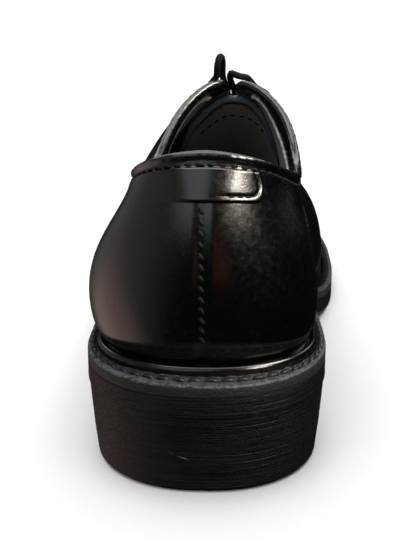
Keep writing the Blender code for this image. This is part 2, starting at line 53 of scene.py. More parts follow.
SOLE_ROWS = (
    (0.0, 36.0, 36.0),
    (40.0, 37.0, 37.0),
    (80.0, 34.5, 37.5),
    (118.0, 32.5, 41.5),
    (160.0, 41.5, 50.5),
    (190.0, 46.5, 53.0),
    (225.0, 46.5, 50.5),
    (262.0, 43.5, 45.0),
    (296.0, 40.0, 39.0),
)
HEEL_ROUND = 42.0
TOE_ROUND = 68.0
ROUND_POWER = 2.3
TOE_SWING = 4.0
SWING_START = 120.0
NO_INSET = (0.0, 0.0, 0.0)
OUTLINE_END = 0.0025
TURN_POINTS = 400
BREAST_AT = 76.0
BREAST_BOW = 2.5
BREAST_PARTS = np.linspace(0.96, 0.06, 12)
HEEL_TOP = 24.45
HEEL_COLUMNS = ("up", "inset")
HEEL_LEVELS = (
    (0.0, 3.4),
    (1.2, 2.5),
    (10.0, 1.5),
    (24.5, 0.3),
)
HEEL_FOOT_ROUND = 0.7
CIRCLE_POWER = 2.0
HEEL_STEPS = 60
# A power that crowds the levels towards the foot
HEEL_CROWDING = 1.15
HEEL_POINTS = 110
HEEL_LINE_DEPTH = 0.06
BRUSH_LINE_LENGTH = 26.0
# Scratches as middle, half length, half height and slope
HEEL_SCRATCHES = (
    ((-8.3, 3.0, 12.4), 1.1, 0.4, 0.1),
    ((-5.0, 2.6, 11.4), 2.2, 0.22, 0.27),
)
SCRATCH_COLOUR = "#6f6d67"
SCRATCH_GAIN = 3.0
SHARP_ANGLE = 38.0


def spline(knots, values, level_ends=False):
    """Smooth cubic curve through the rows of a table, with level or free ends."""
    knots = np.array(knots, float)
    values = np.array(values, float)
    step = np.diff(knots)
    slope = np.diff(values) / step
    count = len(knots)
    matrix = np.eye(count)
    right = np.zeros(count)
    for i in range(1, count - 1):
        matrix[i, i - 1 : i + 2] = step[i - 1], 2 * (step[i - 1] + step[i]), step[i]
        right[i] = 6 * (slope[i] - slope[i - 1])
    if level_ends:
        matrix[0, :2] = 2 * step[0], step[0]
        matrix[-1, -2:] = step[-1], 2 * step[-1]
        right[0] = 6 * slope[0]
        right[-1] = -6 * slope[-1]
    bend = np.linalg.solve(matrix, right)

    def value(at):
        i = np.clip(np.searchsorted(knots, at) - 1, 0, count - 2)
        ahead = knots[i + 1] - at
        behind = at - knots[i]
        start = values[i] / step[i] - bend[i] * step[i] / 6
        end = values[i + 1] / step[i] - bend[i + 1] * step[i] / 6
        bow = (bend[i] * ahead**3 + bend[i + 1] * behind**3) / (6 * step[i])
        return bow + start * ahead + end * behind

    return value


def table_curves(names, rows, level=()):
    """A curve for each named column of a table, over its first column."""
    columns = dict(zip(names, zip(*rows)))
    knots = columns[names[0]]
    return {name: spline(knots, columns[name], name in level) for name in names[1:]}


def smooth(part):
    """Eases from 0 to 1 with level ends."""
    part = np.clip(part, 0.0, 1.0)
    return part * part * (3 - 2 * part)


def rounding(distance, depth, power=ROUND_POWER):
    """How much of the full width is left at a distance from a rounded end."""
    inside = np.clip(1 - distance / depth, 0.0, 1.0)
    return (1 - inside**power) ** (1 / power)


SOLE = table_curves(SOLE_COLUMNS, SOLE_ROWS)


def edge(side, turn, inset):
    """Plan points on the sole's outline, inset from it. Turn runs from 0 at the heel to 1 at the toe."""
    back, sides, toe = inset
    end = LENGTH - toe
    at = back + (end - back) * (1 - np.cos(math.pi * turn)) / 2
    half = SOLE["medial" if side > 0 else "lateral"](at) - sides
    half = half * rounding(at - back, HEEL_ROUND - back) * rounding(end - at, TOE_ROUND - toe)
    axis = TOE_SWING * smooth((at - SWING_START) / (LENGTH - SWING_START))
    return np.stack((axis + side * half, at), -1)


# The axis of the heel stands off the middle of the box that holds the shoe
OUTLINE_X = [edge(side, np.linspace(0.0, 1.0, TURN_POINTS), NO_INSET)[:, 0] for side in (1, -1)]
CENTRE = np.array(((np.min(OUTLINE_X) + np.max(OUTLINE_X)) / 2, LENGTH / 2, 0.0))


def to_metres(points):
    return (np.asarray(points, float) - CENTRE) * MM


def linear(code):
    """Linear colour of an sRGB hex value."""
    parts = [int(code[k : k + 2], 16) / 255 for k in (1, 3, 5)]
    return (*[c / 12.92 if c <= 0.04045 else ((c + 0.055) / 1.055) ** 2.4 for c in parts], 1.0)


def plug(tree, target, links):
    """Gives each named input of a node a value, or a link to another node's socket."""
    for name, value in links.items():
        if isinstance(value, bpy.types.NodeSocket):
            tree.links.new(value, target.inputs[name])
        else:
            target.inputs[name].default_value = value


def node(tree, kind, output, links, **settings):
    """Adds a node with its settings and links, and gives the one of its outputs that is used."""
    made = tree.nodes.new(kind)
    for name, value in settings.items():
        setattr(made, name, value)
    plug(tree, made, links)
    return made.outputs[output]


def new_material(name, sockets):
    """Principled material with plain values on its sockets, its node tree and its object coordinates."""
    material = bpy.data.materials.new(name)
    material.use_nodes = True
    tree = material.node_tree
    shader = tree.nodes["Principled BSDF"]
    plug(tree, shader, sockets)
    return material, tree, shader, node(tree, "ShaderNodeTexCoord", "Object", {})


def add_object(name, data):
    """Puts a new object into the scene."""
    made = bpy.data.objects.new(name, data)
    bpy.context.scene.collection.objects.link(made)
    return made


def dress(name, mesh, materials, nodes, sharp=SHARP_ANGLE):
    """Finishes a mesh as a piece of the shoe: shading and materials, hides the imported parts it stands for
    and hangs it on the root body.
    """
    mesh.shade_smooth()
    mesh.set_sharp_from_angle(angle=math.radians(sharp))
    for material in materials:
        mesh.materials.append(material)
    piece = add_object(name, mesh)
    if nodes:
        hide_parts(*nodes)
    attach(piece, "root")
    return piece


def mesh_of(name, points, faces):
    """Mesh of points in millimetres, with its faces turned outwards."""
    mesh = bpy.data.meshes.new(name)
    mesh.from_pydata(to_metres(points).tolist(), [], faces)
    work = bmesh.new()
    work.from_mesh(mesh)
    bmesh.ops.recalc_face_normals(work, faces=work.faces)
    work.to_mesh(mesh)
    work.free()
    return mesh


def skin(name, sections, ring=False):
    """Mesh over closed sections with equally many points. An open one gets strip caps."""
    sections = np.asarray(sections, float)
    count, size = sections.shape[:2]
    index = np.arange(count * size).reshape(count, size)
    rows = np.vstack((index, index[:1])) if ring else index
    here, there = rows[:-1], rows[1:]
    quads = np.stack((here, np.roll(here, -1, 1), np.roll(there, -1, 1), there), -1)
    faces = quads.reshape(-1, 4).tolist()
    if not ring:
        for row in (index[0], index[-1]):
            for k in range(size // 2 - 1):
                faces.append([int(row[j]) for j in (k, k + 1, size - 2 - k, size - 1 - k)])
    return mesh_of(name, sections.reshape(-1, 3), faces)


def trimmed_rubber(name, dark, light, line_gap, scratches=()):
    """Vulcanised rubber, trimmed on a brush: dull, with fine level lines, grit and a few pale scratches."""
    material, tree, shader, place = new_material(name, {"IOR": 1.52, "Specular IOR Level": 0.18})
    along, across = 1 / (BRUSH_LINE_LENGTH * MM), 1 / (line_gap * MM)
    level = node(tree, "ShaderNodeMapping", 0, {"Vector": place, "Scale": (along, along, across)})
    lines = node(tree, "ShaderNodeTexNoise", "Fac", {"Vector": level, "Scale": 1.0, "Detail": 4.0})
    grit = node(tree, "ShaderNodeTexNoise", "Fac", {"Vector": place, "Scale": 1 / (0.7 * MM), "Detail": 3.0})
    cloud = node(tree, "ShaderNodeTexNoise", "Fac", {"Vector": place, "Scale": 1 / (17 * MM), "Detail": 3.0})
    tone = node(tree, "ShaderNodeMath", 0, {0: lines, 1: cloud}, operation="MULTIPLY")
    ramp = node(tree, "ShaderNodeMapRange", 0, {"Value": tone, "From Min": 0.14, "From Max": 0.38})
    colour = node(tree, "ShaderNodeMix", 2, {0: ramp, 6: linear(dark), 7: linear(light)}, data_type="RGBA")
    for middle, length, height, slope in scratches:
        around = {
            "Vector": place,
            "Location": to_metres(middle),
            "Rotation": (0.0, slope, 0.0),
            "Scale": (length * MM, length * MM, height * MM),
        }
        local = node(tree, "ShaderNodeMapping", 0, around, vector_type="TEXTURE")
        near = node(tree, "ShaderNodeTexGradient", "Fac", {"Vector": local}, gradient_type="SPHERICAL")
        torn = node(tree, "ShaderNodeMath", 0, {0: near, 1: grit}, operation="MULTIPLY")
        gain = {0: torn, 1: SCRATCH_GAIN}
        pale = node(tree, "ShaderNodeMath", 0, gain, operation="MULTIPLY", use_clamp=True)
        scratched = {0: pale, 6: colour, 7: linear(SCRATCH_COLOUR)}
        colour = node(tree, "ShaderNodeMix", 2, scratched, data_type="RGBA")
    spread = {"From Min": 0.3, "From Max": 0.7, "To Min": 0.4, "To Max": 0.7}
    rough = node(tree, "ShaderNodeMapRange", 0, {"Value": grit, **spread})
    scored = node(tree, "ShaderNodeBump", 0, {"Height": lines, "Strength": 0.8, "Distance": 0.4 * MM})
    pitted = {"Height": grit, "Strength": 0.6, "Distance": 0.3 * MM, "Normal": scored}
    grainy = node(tree, "ShaderNodeBump", 0, pitted)
    plug(tree, shader, {"Base Color": colour, "Roughness": rough, "Normal": grainy})
    return material


def heel_loop(up, inset):
    """Closed plan line of the heel block at a height: round the back and across the hollow breast."""
    inside = (inset, inset, 0.0)
    turns = np.linspace(0.0, 0.5, TURN_POINTS)
    limit = np.interp(BREAST_AT + inset, edge(1, turns, inside)[:, 1], turns)
    reach = np.linspace(OUTLINE_END, limit, HEEL_POINTS)
    bow = BREAST_AT + inset - BREAST_BOW * (1 - BREAST_PARTS**2)
    halves = []
    for side in (1, -1):
        run = edge(side, reach, inside)
        halves.append(np.vstack((run, np.stack((run[-1, 0] * BREAST_PARTS, bow), -1))))
    plan = np.vstack((halves[0], halves[1][::-1]))
    return np.column_stack((plan, np.full(len(plan), up)))


heel_levels = dict(zip(HEEL_COLUMNS, zip(*HEEL_LEVELS)))
brush = np.random.default_rng(4)
heel_loops = []
for up in HEEL_TOP * np.linspace(0.0, 1.0, HEEL_STEPS) ** HEEL_CROWDING:
    foot = HEEL_FOOT_ROUND * (1 - rounding(up, HEEL_FOOT_ROUND, CIRCLE_POWER))
    line = HEEL_LINE_DEPTH * brush.random() if 0 < up < HEEL_TOP else 0.0
    inset = np.interp(up, heel_levels["up"], heel_levels["inset"])
    heel_loops.append(heel_loop(up, inset + foot + line))
heel_rubber = trimmed_rubber("trimmed_heel_rubber", "#030303", "#11110f", 0.5, HEEL_SCRATCHES)
dress("heel_lift", skin("heel_lift", heel_loops), [heel_rubber], ["heel_block"])

# Outsole. A sheet of the same rubber, 6 mm thick, cut to the sole's plan and pressed to its arch and toe
# spring. Its edge is trimmed flush with the welt above and rounded where it meets the ground.
HEEL_HEIGHT = 24.5
OUTSOLE_THICKNESS = 6.0
SHANK_START = 74.0
FLAT_START = 188.0
FLAT_END = 214.0
TOE_SPRING = 12.0
SPRING_POWER = 1.8
OUTLINE_POINTS = 230
OUTSOLE_EDGE = (
    (1.0, 0.0),
    (0.2, 0.02),
    (0.04, 0.12),
    (0.0, 0.5),
    (0.0, 1.2),
    (0.05, 2.4),
    (0.0, 3.6),
    (0.04, 4.8),
    (0.0, 5.7),
    (0.06, 5.9),
    (0.5, 6.0),
)


def sole_under(at):
    """Height of the outsole's lower face."""
    shank = HEEL_HEIGHT * (1 - smooth((at - SHANK_START) / (FLAT_START - SHANK_START)))
    spring = np.maximum(at - FLAT_END, 0.0) / (LENGTH - FLAT_END)
    return shank + TOE_SPRING * spring**SPRING_POWER


def sole_loop(inset, height):
    """Closed line round the sole at an inset from its outline and a height over its lower face."""
    turns = np.linspace(OUTLINE_END, 1 - OUTLINE_END, OUTLINE_POINTS)
    sides = (edge(1, turns, (inset,) * 3), edge(-1, turns[::-1], (inset,) * 3))
    plan = np.vstack(sides)
    return np.column_stack((plan, sole_under(plan[:, 1]) + height))


outsole_loops = [sole_loop(inset, height) for inset, height in OUTSOLE_EDGE]
sole_rubber = trimmed_rubber("trimmed_sole_rubber", "#030303", "#0f0f0d", 0.55)
dress("outsole_sheet", skin("outsole_sheet", outsole_loops), [sole_rubber], ["outsole"])

# Welt. A strip of waxed leather sewn round the foot of the upper, with a moulded rib that stands against
# the upper to keep water out. A row of heavy thread holds it to the outsole below.
WELT_THICKNESS = 3.4
FEATHER = (12.5, 6.0, 9.0)
WELT_TUCK = 2.5
RIB_MIDDLE = 2.3
RIB_HALF_WIDTH = 1.15
RIB_HEIGHT = 2.0
RIB_POINTS = 11
# The rib's round goes on a little below its foot, in half turns
RIB_END = -0.12
TURN_NUDGE = 0.002
EDGE_POINTS = 600
WELT_TURNS = 400
WELT_END = 0.0015
# Profile of the strip over its top, as share of the way to the rim and height, then down the rim, as inset
# from the outline and height
WELT_TOP = (
    (0.0, -0.6),
    (0.05, -0.75),
    (0.14, -0.5),
    (0.24, -0.1),
    (0.34, 0.0),
    (0.42, -0.3),
    (0.5, -0.45),
    (0.58, -0.3),
    (0.66, 0.0),
    (0.74, 0.08),
    (0.82, 0.05),
)
WELT_RIM = (
    (0.75, -0.02),
    (0.3, -0.12),
    (0.08, -0.4),
    (0.0, -0.8),
    (0.0, -1.8),
    (0.02, -2.6),
    (0.04, -3.3),
    (0.1, -3.6),
    (0.6, -3.65),
)
WELT_SEAM = 0.5
WELT_STITCH_PITCH = 4.6
WELT_THREAD = 1.6
WELT_THREAD_SINK = 0.1
WELT_ROUGHNESS = 0.11
# Rows of the profile that carry the grey dust and painted highlight all over, counted from the start of the
# rim
WELT_DUST_AND_HIGHLIGHT_ROWS = (-4, 3)
WELT_TOP_DUST_AND_HIGHLIGHT = 0.3


def unit(vectors):
    return vectors / np.linalg.norm(vectors, axis=-1, keepdims=True)


def feather(side, turn):
    """Plan points and outward normals of the feather line, where the upper meets the welt."""
    before = edge(side, np.maximum(turn - TURN_NUDGE, 0.0), FEATHER)
    after = edge(side, np.minimum(turn + TURN_NUDGE, 1.0), FEATHER)
    along = unit(after - before)
    return edge(side, turn, FEATHER), side * np.stack((along[..., 1], -along[..., 0]), -1)


def run_along(points):
    """Distance of each point of a line from its start, along the line."""
    return np.concatenate(([0.0], np.cumsum(np.linalg.norm(np.diff(points, axis=0), axis=1))))


def edge_run(side):
    """Share of the feather line's length that each turn has come, on one side."""
    turns = np.linspace(0.0, 1.0, EDGE_POINTS)
    run = run_along(edge(side, turns, FEATHER))
    return turns, run / run[-1]


EDGE_RUN = {1: edge_run(1), -1: edge_run(-1)}


def welt_stations():
    """Feather points, normals and rim points once round the shoe, evenly spaced."""
    stations = []
    for side in (1, -1):
        turns, run = EDGE_RUN[side]
        even = np.interp(np.linspace(WELT_END, 1 - WELT_END, WELT_TURNS), run, turns)[::side]
        foot, normal = feather(side, even)
        stations.append(np.concatenate((foot, normal, edge(side, even, NO_INSET)), 1))
    stations = np.vstack(stations)
    return stations[:, :2], stations[:, 2:4], stations[:, 4:]


def on_sole(plan, up):
    """Points over the outsole's upper face."""
    return np.column_stack((plan, sole_under(plan[:, 1]) + OUTSOLE_THICKNESS + GAP + up))


welt_foot, welt_normal, welt_rim = welt_stations()
rib_end = welt_foot + welt_normal * (RIB_MIDDLE + RIB_HALF_WIDTH)
welt_rows = [on_sole(welt_foot - welt_normal * WELT_TUCK, up) for up in (0.0, WELT_THICKNESS)]
for angle in np.linspace(math.pi, RIB_END * math.pi, RIB_POINTS):
    out = RIB_MIDDLE + RIB_HALF_WIDTH * math.cos(angle)
    welt_rows.append(on_sole(welt_foot + welt_normal * out, WELT_THICKNESS + RIB_HEIGHT * math.sin(angle)))
rib_rows = len(welt_rows)
for part, up in WELT_TOP:
    welt_rows.append(on_sole(rib_end + (welt_rim - rib_end) * part, WELT_THICKNESS + up))
for inset, up in WELT_RIM:
    welt_rows.append(on_sole(welt_rim - welt_normal * inset, WELT_THICKNESS + up))
welt_rows = np.array(welt_rows)
# Wear makes the top and the rim uneven, but not the foot of the rim on the outsole
wear = np.random.default_rng(7).standard_normal(welt_rows.shape[:2])
wear = (wear + np.roll(wear, 1, 1) + np.roll(wear, 1, 0)) * WELT_ROUGHNESS / math.sqrt(3)
welt_rows[rib_rows:-2, :, 2] += wear[rib_rows:-2]
welt_mesh = skin("welt_strip", np.swapaxes(welt_rows, 0, 1), ring=True)


def mark(mesh, name, values):
    """Keeps a value for each point of a mesh, for its material to read."""
    mesh.attributes.new(name, "FLOAT", "POINT").data.foreach_set("value", values.ravel().astype(np.float32))


rough_rows = np.zeros(welt_rows.shape[:2])
rough_rows[rib_rows:] = 1.0
rim_start = rib_rows + len(WELT_TOP)
# Where the grey colour goes: faint on the welt's top, full on the rim's upper edge, as dust and painted
# highlight
dust_and_highlight_rows = np.zeros(welt_rows.shape[:2])
dust_and_highlight_rows[rib_rows:rim_start] = WELT_TOP_DUST_AND_HIGHLIGHT
dust_and_highlight_rows[rim_start + WELT_DUST_AND_HIGHLIGHT_ROWS[0] : rim_start + WELT_DUST_AND_HIGHLIGHT_ROWS[1]] = 1.0
mark(welt_mesh, "rough", rough_rows.T)
mark(welt_mesh, "dust_and_highlight", dust_and_highlight_rows.T)


def along_line(distances, run, values):
    """Values at distances along a line, between those of its points."""
    return np.stack([np.interp(distances, run, column) for column in values.T], -1)


def stitch_places(points, normals, pitch, share=0.8):
    """Starts, ends and normals of stitches laid along a line at a pitch."""
    run = run_along(points)
    count = int(run[-1] // pitch)
    begin = np.arange(count) * pitch + (run[-1] - (count - 1 + share) * pitch) / 2
    rises = along_line(begin + share * pitch / 2, run, normals)
    return along_line(begin, run, points), along_line(begin + share * pitch, run, points), unit(rises)


# Stations of a stitch: place along its half length, then fullness and height in halves of its thread
STITCH_STATIONS = np.array(
    (
        (-1.0, 0.45, -0.35),
        (-0.72, 0.9, 0.1),
        (-0.25, 1.0, 0.3),
        (0.25, 1.0, 0.3),
        (0.72, 0.9, 0.1),
        (1.0, 0.45, -0.35),
    )
)
STITCH_SIDES = 7
STITCH_FLATNESS = 0.8


def ring_angles(count):
    """Angles of points spaced evenly round a ring."""
    return 2 * math.pi * np.arange(count) / count


def stitches(name, places, thread, material):
    """One mesh of stitches, each a short plump run of thread that dips into its holes at both ends."""
    starts, ends, normals = places
    middle = ((starts + ends) / 2)[:, None, None]
    half = ((ends - starts) / 2)[:, None, None]
    side = unit(np.cross(ends - starts, normals))[:, None, None]
    rise = normals[:, None, None]
    along, full, height = (STITCH_STATIONS[None, :, None, k, None] for k in range(3))
    angle = ring_angles(STITCH_SIDES)[None, None, :, None]
    across = side * np.cos(angle) * full + rise * (height + STITCH_FLATNESS * np.sin(angle) * full)
    points = middle + half * along + across * thread / 2
    stations = len(STITCH_STATIONS)
    ring = np.arange(STITCH_SIDES)
    after = np.roll(ring, -1)
    faces = []
    for k in range(stations - 1):
        low, high = k * STITCH_SIDES, (k + 1) * STITCH_SIDES
        faces += np.stack((low + ring, low + after, high + after, high + ring), -1).tolist()
    faces += [ring.tolist(), ((stations - 1) * STITCH_SIDES + ring).tolist()]
    size = stations * STITCH_SIDES
    every = [[corner + k * size for corner in face] for k in range(len(starts)) for face in faces]
    dress(name, mesh_of(name, points.reshape(-1, 3), every), [material], [])


def waxed_leather(name, dark, light):
    """Vegetable-tanned strip, blacked and waxed: bright along the rib, rough where feet scuff it, with grey
    dust and a painted bluish highlight on the top and the rim's upper edge.
    """
    material, tree, shader, place = new_material(name, {"IOR": 1.5})
    cloud = node(tree, "ShaderNodeTexNoise", "Fac", {"Vector": place, "Scale": 1 / (1.2 * MM), "Detail": 5.0})
    pore = node(tree, "ShaderNodeTexNoise", "Fac", {"Vector": place, "Scale": 1 / (0.6 * MM), "Detail": 4.0})
    zone = node(tree, "ShaderNodeAttribute", "Fac", {}, attribute_name="rough")
    dust_and_highlight_share = node(tree, "ShaderNodeAttribute", "Fac", {}, attribute_name="dust_and_highlight")
    patch = node(tree, "ShaderNodeMapRange", 0, {"Value": cloud, "From Min": 0.36, "From Max": 0.74})
    # Grey patches are dust together with a painted highlight, where the rows allow them
    dust_and_highlight = node(tree, "ShaderNodeMath", 0, {0: patch, 1: dust_and_highlight_share}, operation="MULTIPLY")
    colour = node(tree, "ShaderNodeMix", 2, {0: dust_and_highlight, 6: linear(dark), 7: linear(light)}, data_type="RGBA")
    rough = node(tree, "ShaderNodeMapRange", 0, {"Value": zone, "To Min": 0.2, "To Max": 0.62})
    depth = node(tree, "ShaderNodeMapRange", 0, {"Value": zone, "To Min": 0.1, "To Max": 0.7})
    bump = node(tree, "ShaderNodeBump", 0, {"Height": pore, "Strength": depth, "Distance": 0.35 * MM})
    plug(tree, shader, {"Base Color": colour, "Roughness": rough, "Normal": bump})
    return material


def waxed_thread(name, colour, roughness):
    """Twisted polyester, waxed: a soft sheen broken by the twist."""
    sockets = {"Base Color": linear(colour), "Roughness": roughness, "Specular IOR Level": 0.22}
    material, tree, shader, place = new_material(name, sockets)
    twist = node(tree, "ShaderNodeTexNoise", "Fac", {"Vector": place, "Scale": 1 / (0.35 * MM)})
    bump = node(tree, "ShaderNodeBump", 0, {"Height": twist, "Strength": 0.5, "Distance": 0.15 * MM})
    plug(tree, shader, {"Normal": bump})
    return material


# The light colour is grey dust and a painted bluish highlight along the rim's upper edge
welt_leather = waxed_leather("waxed_welt_leather", "#050606", "#515c60")
dress("welt_strip", welt_mesh, [welt_leather], ["welt"])
seam_line = on_sole(rib_end + (welt_rim - rib_end) * WELT_SEAM, WELT_THICKNESS - WELT_THREAD_SINK)
seam_line = np.vstack((seam_line, seam_line[:1]))
seam_up = np.tile((0.0, 0.0, 1.0), (len(seam_line), 1))
welt_places = stitch_places(seam_line, seam_up, WELT_STITCH_PITCH)
welt_thread = waxed_thread("waxed_welt_thread", "#17191b", 0.5)
stitches("welt_stitches", welt_places, WELT_THREAD, welt_thread)

# Insole. A leather board on the outsole inside the welt, covered with a dark sock that the foot stands on.
# Its edge lies against the upper all round.
INSOLE_TUCK = 3.1
INSOLE_EDGE = (
    (1.2, 0.0),
    (0.0, 0.5),
    (0.0, 4.6),
    (0.25, 5.15),
    (0.9, 5.4),
)


def sock_leather(name, dark, light):
    """Pigskin sock, dyed dark and rubbed by the foot: dull with a faint pebble."""
    material, tree, shader, place = new_material(name, {"IOR": 1.5})
    cloud = node(tree, "ShaderNodeTexNoise", "Fac", {"Vector": place, "Scale": 1 / (14 * MM), "Detail": 4.0})
    pebble = node(tree, "ShaderNodeTexVoronoi", "Distance", {"Vector": place, "Scale": 1 / (0.9 * MM)})
    colour = node(tree, "ShaderNodeMix", 2, {0: cloud, 6: linear(dark), 7: linear(light)}, data_type="RGBA")
    rough = node(tree, "ShaderNodeMapRange", 0, {"Value": cloud, "To Min": 0.55, "To Max": 0.8})
    bump = node(tree, "ShaderNodeBump", 0, {"Height": pebble, "Strength": 0.3, "Distance": 0.2 * MM})
    plug(tree, shader, {"Base Color": colour, "Roughness": rough, "Normal": bump})
    return material


insole_loops = [on_sole(welt_foot - welt_normal * (INSOLE_TUCK + inset), up) for inset, up in INSOLE_EDGE]
pigskin = sock_leather("pigskin_sock", "#1b1613", "#322a24")
dress("insole_sock", skin("insole_sock", insole_loops), [pigskin], ["insole"])

# Upper. Smooth cattle hide, blacked and polished, drawn over the last: one vamp with two quarters laid
# over it, joined by a seam down the back. The eyelet holes are punched through the facings.
UPPER_WALL = 1.8
QUARTER_STEP = 1.0
UPPER_COLUMNS = (
    *("row", "girth", "bulge", "skew", "rise"),
    *("top_at", "top_half", "top_up", "lean", "drop", "ease"),
)
UPPER_ROWS = (
    (0, 0.000, 9.0, 0.0, 24.0, 15.0, 0.0, 94.5, 7.0, 16.0, 1.00),
    (1, 0.090, 9.5, 2.0, 24.0, 20.5, 16.0, 91.5, 6.0, 15.0, 1.00),
    (2, 0.190, 10.0, 4.0, 25.0, 41.0, 24.0, 83.5, 2.5, 13.0, 1.00),
    (3, 0.285, 9.5, 5.0, 26.0, 67.0, 23.5, 81.5, 2.5, 14.0, 1.00),
    (4, 0.355, 8.5, 4.5, 28.0, 90.0, 19.5, 92.0, 6.0, 13.0, 0.94),
    (5, 0.405, 7.0, 3.0, 31.0, 107.0, 11.0, 101.5, 12.0, 8.0, 0.80),
    (6, 0.440, 6.5, 1.5, 34.0, 119.0, 4.0, 101.5, 17.0, 4.0, 0.72),
    (7, 0.480, 6.0, 1.0, 32.0, 148.0, 5.0, 86.0, 18.5, 4.0, 0.74),
    (8, 0.530, 5.0, 0.5, 27.0, 176.0, 6.5, 70.0, 20.0, 5.0, 0.85),
    (9, 0.620, 4.5, 0.0, 23.5, 188.0, 6.0, 65.0, 23.0, 5.5, 0.95),
    (10, 0.760, 4.5, 0.0, 23.0, 191.5, 3.5, 63.8, 32.0, 6.0, 1.00),
    (11, 0.900, 4.5, 0.0, 24.0, 192.5, 1.5, 63.4, 42.0, 7.0, 1.00),
    (12, 1.000, 4.5, 0.0, 24.0, 192.8, 0.0, 63.3, 46.0, 7.5, 1.00),
)
TOE_ROW = 12
CORNER_ROW = 6.0
QUARTER_EDGE_ROW = 8.0
STEP_FADE = 0.12
STEP_ROUND = 0.02
RIDGE_COLUMNS = ("at", "ridge")
RIDGE_ROWS = (
    (0.0, 0.0),
    (40.0, 2.0),
    (75.0, 5.0),
    (112.0, 5.5),
    (150.0, 6.0),
    (190.0, 6.0),
    (296.0, 4.0),
)
ROW_NUDGE = 0.02
RUN_POINTS = 401
# Stretches of the wall's mesh: from row, to row, steps
WALL_ROWS = (
    (0.0, 0.14, 16),
    (0.14, 2.0, 64),
    (2.0, 6.0, 95),
    (6.0, 7.9, 36),
    (7.9, 8.1, 18),
    (8.1, 9.0, 28),
    (9.0, 12.0, 105),
)
TOP_BAND = 8.0
TOP_STEPS = 26
WALL_STEPS = 48
INNER_STEPS = 24
THROAT_EDGE = 0.5
THROAT_EDGE_DEPTH = 0.6
SEAM_HALF_WIDTH = 0.4
SEAM_DEPTH = 0.4
SEAM_EDGE = 2.7
SEAM_ROWS = 0.6
COLLAR_CHANNEL = 0.55
CHANNEL_WIDTH = 1.0
CHANNEL_EDGE = 0.6
FACING_SEAM = 2.6
FACING_GROOVE = 0.12
FACING_GROOVE_WIDTH = 0.6
# Creases as soft troughs, each with its start, middle and end as row and distance down the wall.
# Rows past the toe row come back along the lateral side.
CREASES = (
    ((8.75, 26.0), (12.0, 9.0), (15.2, 25.0), 3.2, 0.75),
    ((8.95, 33.0), (12.0, 17.0), (15.0, 33.0), 3.6, 0.9),
    ((9.25, 40.0), (12.0, 27.0), (14.7, 38.0), 3.4, 0.6),
    ((9.6, 34.0), (10.6, 32.0), (11.4, 36.0), 2.4, 0.35),
    ((12.7, 36.0), (13.6, 33.0), (14.5, 30.0), 2.4, 0.35),
    ((4.6, 34.0), (5.3, 27.0), (5.9, 24.0), 3.0, 0.5),
    ((4.9, 44.0), (5.7, 38.0), (6.5, 37.0), 3.4, 0.45),
    ((-4.6, 32.0), (-5.3, 26.0), (-5.9, 23.0), 3.0, 0.5),
    ((-4.9, 43.0), (-5.7, 37.0), (-6.5, 36.0), 3.4, 0.45),
)
CREASE_POINTS = 30
CREASE_END = 0.02
CREASE_FADE_POWER = 0.7
CREASE_RIDGE = 0.35
# Widths from the middle of a trough to the ridge beside it
CREASE_RIDGE_PLACE = 2.1
# Slow waves of worn leather, as radians for each millimetre across, along and up. The first two are
# multiplied.
SLACK_TURNS = (
    (0.0, 1 / 9, 1 / 13),
    (1 / 11, 0.0, -1 / 17),
    (-1 / 15, 1 / 23, 1 / 7),
)
SLACK_DEPTHS = (0.10, 0.07)
# Rubbed places: row, distance down the wall, reach and strength
RUBBED = (
    (1.3, 12.0, 7.0, 0.6),
    (1.1, 17.0, 4.0, 0.35),
    (0.3, 16.0, 3.5, 0.2),
    (12.0, 92.0, 16.0, 0.6),
    (10.6, 84.0, 10.0, 0.4),
    (-2.4, 52.0, 9.0, 0.3),
)
RUBBED_COLOUR = "#4b473f"
RUBBED_ROUGHNESS = 0.25

UPPER = table_curves(
    UPPER_COLUMNS,
    UPPER_ROWS,
    level=("bulge", "rise", "top_at", "top_up", "lean", "drop", "ease"),
)
RIDGE = table_curves(RIDGE_COLUMNS, RIDGE_ROWS, level=("ridge",))["ridge"]


def wall_controls(row):
    """The points that lead the wall's profile at a row: welt, over the foot, under the top and topline."""
    row = (row + TOE_ROW) % (2 * TOE_ROW) - TOE_ROW
    side = 1 if row >= 0 else -1
    size = {name: float(curve(abs(row))) for name, curve in UPPER.items()}
    turns, run = EDGE_RUN[side]
    foot, normal = feather(side, np.interp(size["girth"], run, turns))
    welt_top = sole_under(foot[1]) + OUTSOLE_THICKNESS + GAP + WELT_THICKNESS
    low = np.array((*foot, welt_top + GAP))
    top = np.array((RIDGE(size["top_at"]) + side * size["top_half"], size["top_at"], size["top_up"]))
    out = unit((low - top)[:2])
    bulge = size["bulge"] - side * size["skew"]
    ease = size["ease"] if side < 0 else 1.0
    over_foot = low + np.array((*normal * bulge, size["rise"] * ease))
    under_top = top + np.array((*out * size["lean"] * ease, -size["drop"]))
    return np.array((low, over_foot, under_top, top))


def cubic_weights(part):
    """Weights of the four points that lead a cubic curve."""
    left = 1 - part
    return np.stack((left**3, 3 * left**2 * part, 3 * left * part**2, part**3), -1)


def wall_row(row, rises):
    """Points up the wall at a row, with their outward normals and the unit directions up the wall."""
    rises = np.asarray(rises, float)
    left = 1 - rises
    weights = cubic_weights(rises)
    rates = np.stack((-(left**2), left**2 - 2 * left * rises, 2 * left * rises - rises**2, rises**2), -1)
    controls = wall_controls(row)
    climb = unit(rates @ controls)
    around = weights @ (wall_controls(row + ROW_NUDGE) - wall_controls(row - ROW_NUDGE))
    return weights @ controls, unit(np.cross(around, climb)), climb


def rises_below(row, downs):
    """Rises of points that lie given distances down the wall from the topline, and the wall's whole run."""
    rises = np.linspace(1.0, 0.0, RUN_POINTS)
    run = run_along(cubic_weights(rises) @ wall_controls(row))
    return np.interp(downs, run, rises), run[-1]


